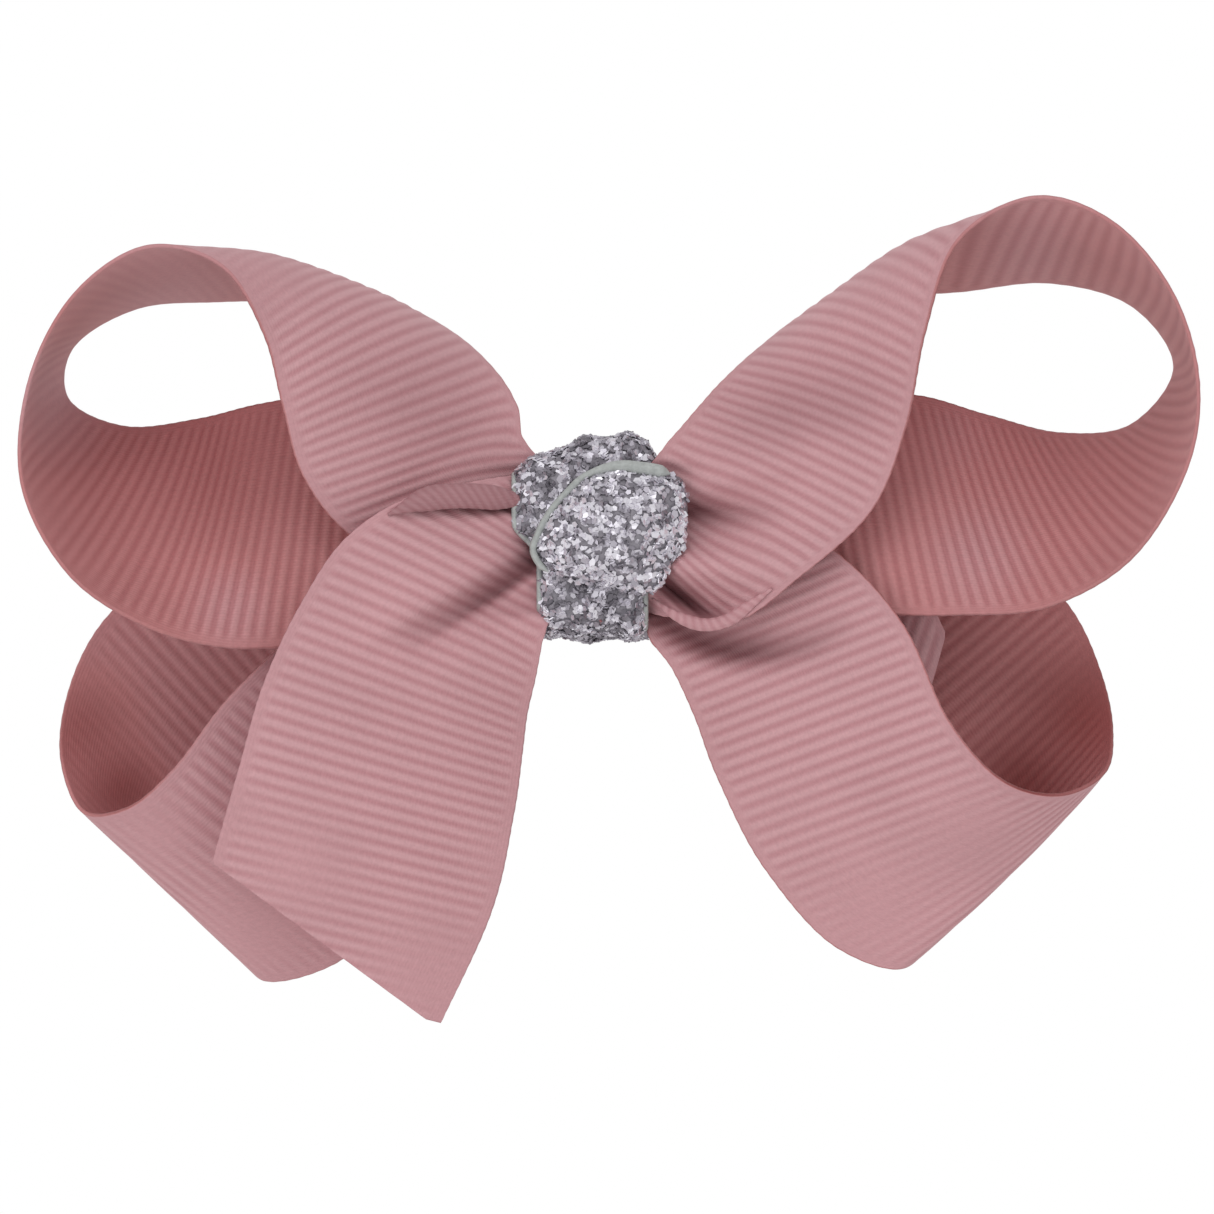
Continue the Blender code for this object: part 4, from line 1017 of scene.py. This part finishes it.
# the alligator clip behind the bow, and what ties and glues the bow to it. Sizes in mm.
clip = {
    "edgeRound": 0.11,
    "plate": 0.7,
    "linerGap": 0.3,  # from the liner's back to the jaw's face
    "nickel": "#c9c6c0",
    "rollingLines": 0.16,  # between the fine lines of the rolled sheet, drawn coarse enough to show
    "spring": "#8f8f92",
    "wireRadius": 0.2,
    "coilRadius": 0.72,
    "coilTurns": 3,
    "coilHalf": 1.3,
    "leverAngle": 33,
    "linerWrap": 1.0,
    "linerBend": 0.35,  # the radius of its fold round the jaw's edge
    "linerRibs": 0.08,
    "linerThickness": 0.22,
    "linerRound": 1.8,
    "glue": "#dcd5bf",
    "thread": "#a8686d",
    "threadRadius": 0.11,
    "threadTwist": 1.1,  # mm for one turn of the two plies
}


def metalMaterial(name, colour, roughness, lines):
    made, tree, shader = newMaterial(name)
    coords, cloud = mottle(tree, shader, colour, 160.0, 4.0, (0.3, 0.75), (1.04, 0.86))
    drawn = addNode(tree, "ShaderNodeMapping", {"Vector": coords.outputs["Object"], "Scale": (0.04, 1.0, 1.0)})
    streak = addNode(tree, "ShaderNodeTexNoise", {
        "Vector": drawn, "Scale": 1000 / lines, "Detail": 3.0, "Roughness": 0.6,
    })
    dull = addNode(tree, "ShaderNodeMapRange", {
        "Value": cloud.outputs["Fac"], "From Min": 0.35, "From Max": 0.7, "To Min": roughness - 0.05,
        "To Max": roughness + 0.12,
    })
    bump = addNode(tree, "ShaderNodeBump", {"Strength": 0.2, "Distance": 0.00003, "Height": streak.outputs["Fac"]})
    setInputs(shader, {"Roughness": dull, "Normal": bump, "Metallic": 1.0})
    return made


# nickel plate on stamped steel: bright, a little milky, with the sheet's rolling lines still showing
nickelPlate = metalMaterial("nickelPlatedSteel", clip["nickel"], 0.24, clip["rollingLines"])
# drawn spring wire: darker and plainer than the plate
springWire = metalMaterial("drawnSpringWire", clip["spring"], 0.32, 0.1)


def gluePadMaterial():
    # cured hot-melt glue: milky, slightly see-through, glossy where it has set against air
    made, tree, shader = newMaterial("hotMeltGlue")
    _, cloud = mottle(tree, shader, clip["glue"], 420.0, 3.0, (0.0, 1.0), (0.9, 1.08))
    bump = addNode(tree, "ShaderNodeBump", {"Strength": 0.3, "Distance": 0.0001, "Height": cloud.outputs["Fac"]})
    setInputs(shader, {"Normal": bump, "Roughness": 0.28, "IOR": 1.48, "Transmission Weight": 0.25})
    return made


def threadMaterial():
    # spun polyester sewing thread, dyed to the ribbon: matt, with a fine mottle and a little sheen
    made, tree, shader = newMaterial("spunPolyesterThread")
    mottle(tree, shader, clip["thread"], 6000.0, 2.0, (0.3, 0.7), (0.8, 1.15))
    setInputs(shader, {"Roughness": 0.75, "Sheen Weight": 0.3})
    return made


def finishedCopy(name, node, material):
    # a CAD part with its doubles merged and its stamped edges eased
    mesh = frame["nodes"][node].data.copy()
    work = bmesh.new()
    work.from_mesh(mesh)
    bmesh.ops.remove_doubles(work, verts=work.verts, dist=0.000002)
    bmesh.ops.dissolve_limit(work, angle_limit=math.radians(1), verts=work.verts, edges=work.edges)
    work.to_mesh(mesh)
    work.free()
    made = addPiece(name, mesh)
    mesh.materials.clear()
    mesh.materials.append(material)
    eased = made.modifiers.new("easedEdges", "BEVEL")
    eased.width = clip["edgeRound"] * mm
    eased.segments = 2
    eased.limit_method = "ANGLE"
    eased.angle_limit = math.radians(35)
    made.data = plainMesh(made)
    made.data.shade_smooth()
    made.data.set_sharp_from_angle(angle=math.radians(40))
    return made


fixedJaw, movingJaw, hingePin = (
    finishedCopy(name, node, nickelPlate)
    for name, node in (("fixedJaw", "clip_fixed_jaw"), ("movingJaw", "clip_moving_jaw"), ("hingePin", "hinge_pin"))
)


def springPath(steps=28):
    # one leg along the fixed jaw, the coils round the pin, one leg out along the lever
    pinX, pinY, _ = sum(boxOf("hinge_pin")) / 2
    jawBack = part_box("clip_liner")[1][1] / mm + clip["linerGap"] + clip["plate"]  # the fixed jaw's inner face
    r, half = clip["coilRadius"], clip["coilHalf"]
    lever = math.radians(clip["leverAngle"])
    onJaw = jawBack - pinY + clip["wireRadius"] + 0.1
    points = [(6.0, onJaw, -half), (4.1, -r + 0.02, -half), (2.2, -r, -half), (1.1, -r, -half)]
    turns = clip["coilTurns"] + 0.5
    for k in range(int(steps * turns) + 1):
        angle = -math.pi / 2 - 2 * math.pi * k / steps
        points.append((r * math.cos(angle), r * math.sin(angle), -half + 2 * half * k / (steps * turns)))
    for reach in (0.0, 1.5, 3.0):
        points.append((3.3 + reach * math.cos(lever), r + reach * math.sin(lever), half))
    return [(pinX + x, pinY + y, z) for x, y, z in points]


torsionSpring = makeCord("torsionSpring", springPath(), clip["wireRadius"], 12, springWire)


def threadPath(turns=2, steps=360):
    # one thread laid double round the neck, its two plies twisted about each other
    low, high = boxOf("gathering_thread")
    _, midY, midZ = (low + high) / 2
    _, halfY, halfZ = (high - low) / 2 - 0.2  # room for the thread itself
    ring, run = roundedRing(halfY, halfZ, 1.5, 8)
    twists = round(run[-1] / clip["threadTwist"]) + 0.5
    points = []
    for k in range(turns * steps):
        at = (k / steps % 1) * run[-1]
        y, z = np.interp(at, run, ring[:, 0]), np.interp(at, run, ring[:, 1])
        out = Vector((0, y, z)).normalized()
        angle = 2 * math.pi * twists * k / steps
        swing = clip["threadRadius"] * 0.8
        lift = swing * math.cos(angle)
        points.append((swing * math.sin(angle), midY + y + out.y * lift, midZ + z + out.z * lift))
    return points


gatheringThread = makeCord("gatheringThread", threadPath(), clip["threadRadius"], 6, threadMaterial(), closed=True)


def linerPiece():
    # a strip of the same ribbon glued to the jaw, its two sides folded back round the jaw's edges
    low, high = boxOf("clip_liner")
    middleY, halfZ = (low[1] + high[1]) / 2, high[2]
    across = 2 * (halfZ + clip["linerWrap"])
    columns = 36
    bend = clip["linerBend"]
    xs = np.arange(low[0] + 0.05, high[0] - 0.05, grosgrain["ribPitch"] / ribbon["rowsPerRib"])
    points, along, acrossAt = [], [], []
    for x in xs:
        end = max(0, clip["linerRound"] - min(x - low[0], high[0] - x))
        narrow = clip["linerRound"] - math.sqrt(max(0, clip["linerRound"] ** 2 - end**2))
        for c in range(columns):
            s = (c / (columns - 1) - 0.5) * across
            flat = halfZ - narrow + 0.05
            over = max(0, abs(s) - flat)
            turn = min(over / bend, math.pi / 2)
            z = math.copysign(min(abs(s), flat) + bend * math.sin(turn), s)
            y = middleY + bend * (1 - math.cos(turn)) + max(0, over - bend * math.pi / 2)
            points.append((x, y, z))
            along.append(x)
            acrossAt.append(s + across / 2)
    mesh = meshFrom("clipLiner", np.array(points) * mm, gridFaces(len(xs), columns))
    made = ribbedPiece("clipLiner", mesh, clip["linerRibs"], clip["linerThickness"], 0, {
        "along": along, "across": acrossAt, "relief": np.full(len(points), 0.6),
    })
    return made, (across * mm, (high[0] - low[0]) * mm)


clipLiner, linerFlat = linerPiece()


def gluePiece(rings=14, columns=56):
    # a dab of glue pressed flat, thicker in the middle, its rim uneven where it has squeezed out
    low, high = boxOf("glue_pad")
    middle, half = (low + high) / 2, (high - low) / 2
    points, faces = [], []
    for side in (-1, 1):
        for r in range(rings + 1):
            share = math.sin(math.pi / 2 * r / rings)
            for c in range(columns):
                angle = 2 * math.pi * c / columns
                spread = 1 + 0.10 * noise.noise(Vector((2 * math.cos(angle), 2 * math.sin(angle), 4.0)))
                x, z = (
                    abs(turn) ** 0.75 * math.copysign(1, turn) * reach * 0.94 * share * spread
                    for turn, reach in ((math.cos(angle), half[0]), (math.sin(angle), half[2]))
                )
                y = side * half[1] * math.sqrt(max(0, 1 - share**6))
                points.append((middle[0] + x, middle[1] + y, middle[2] + z))
    for face in gridFaces(rings + 1, columns, False, True):
        faces.append(face)
        faces.append(tuple(k + (rings + 1) * columns for k in face[::-1]))
    mesh = meshFrom("gluePad", np.array(points) * mm, faces)
    work = bmesh.new()
    work.from_mesh(mesh)
    bmesh.ops.remove_doubles(work, verts=work.verts, dist=0.00001)
    bmesh.ops.recalc_face_normals(work, faces=work.faces)
    work.to_mesh(mesh)
    work.free()
    made = addPiece("gluePad", mesh)
    mesh.materials.append(gluePadMaterial())
    mesh.shade_smooth()
    return made


gluePad = gluePiece()
for made, node, slot, body in (
    (fixedJaw, "clip_fixed_jaw", "nickel_plate", "bow"),
    (movingJaw, "clip_moving_jaw", "nickel_plate", "jaw"),
    (hingePin, "hinge_pin", "nickel_plate", "bow"),
    (gatheringThread, "gathering_thread", "thread_rose", "bow"),
    (clipLiner, "clip_liner", "ribbon_rose", "bow"),
    (gluePad, "glue_pad", "hot_glue", "bow"),
):
    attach(made, body)
    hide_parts(node)
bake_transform(torsionSpring)
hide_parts("torsion_spring")
print("clip, spring, thread, liner and glue made")

# camera and light
view = {"distance": 1.5, "frameWidth": 0.1084, "aimX": 0.0006, "aimZ": -0.0060, "planeY": -0.012}
cameraData = bpy.data.cameras.new("camera")
cameraData.sensor_width = 36
cameraData.lens = 36 * view["distance"] / view["frameWidth"]
camera = bpy.data.objects.new("camera", cameraData)
camera.location = (view["aimX"], view["planeY"] - view["distance"], view["aimZ"])
camera.rotation_euler = (math.radians(90), 0, 0)
scene.collection.objects.link(camera)
scene.camera = camera

studio = {
    "ambient": 0.71,
    "lights": [  # place, size and power
        ("keyLight", (-0.05, -0.88, 0.78), 0.45, 1.9),
        ("leftFill", (-0.55, -0.75, -0.10), 0.50, 1.1),
        ("rightFill", (0.30, -0.72, -0.48), 0.50, 0.8),
    ],
    "floor": -0.35,
}
world = bpy.data.worlds.new("studio")
scene.world = world
world.use_nodes = True
worldTree = world.node_tree
worldTree.nodes.clear()
lit = addNode(worldTree, "ShaderNodeBackground", {"Color": (1, 1, 1, 1), "Strength": studio["ambient"]})
seen = addNode(worldTree, "ShaderNodeBackground", {"Color": (1, 1, 1, 1), "Strength": 1.0})
path = addNode(worldTree, "ShaderNodeLightPath")
mixed = addNode(worldTree, "ShaderNodeMixShader", {0: path.outputs["Is Camera Ray"], 1: lit, 2: seen})
addNode(worldTree, "ShaderNodeOutputWorld", {"Surface": mixed})

for name, place, size, power in studio["lights"]:
    lamp = bpy.data.lights.new(name, "AREA")
    lamp.size = size
    lamp.energy = power
    holder = bpy.data.objects.new(name, lamp)
    holder.location = place
    holder.rotation_euler = (Vector((0, 0, 0)) - Vector(place)).to_track_quat("-Z", "Y").to_euler()
    scene.collection.objects.link(holder)

floorMaterial, _, floorShader = newMaterial("paleFloor")
setInputs(floorShader, {"Base Color": linearFromHex("#f4f3f2"), "Roughness": 0.9})
corners = [(x * 1.2, y * 1.2, studio["floor"]) for x, y in ((-1, -1), (1, -1), (1, 1), (-1, 1))]
floor = addPiece("floor", meshFrom("floor", corners, [(0, 1, 2, 3)]))
floor.data.materials.append(floorMaterial)
print("camera, lights and floor placed")
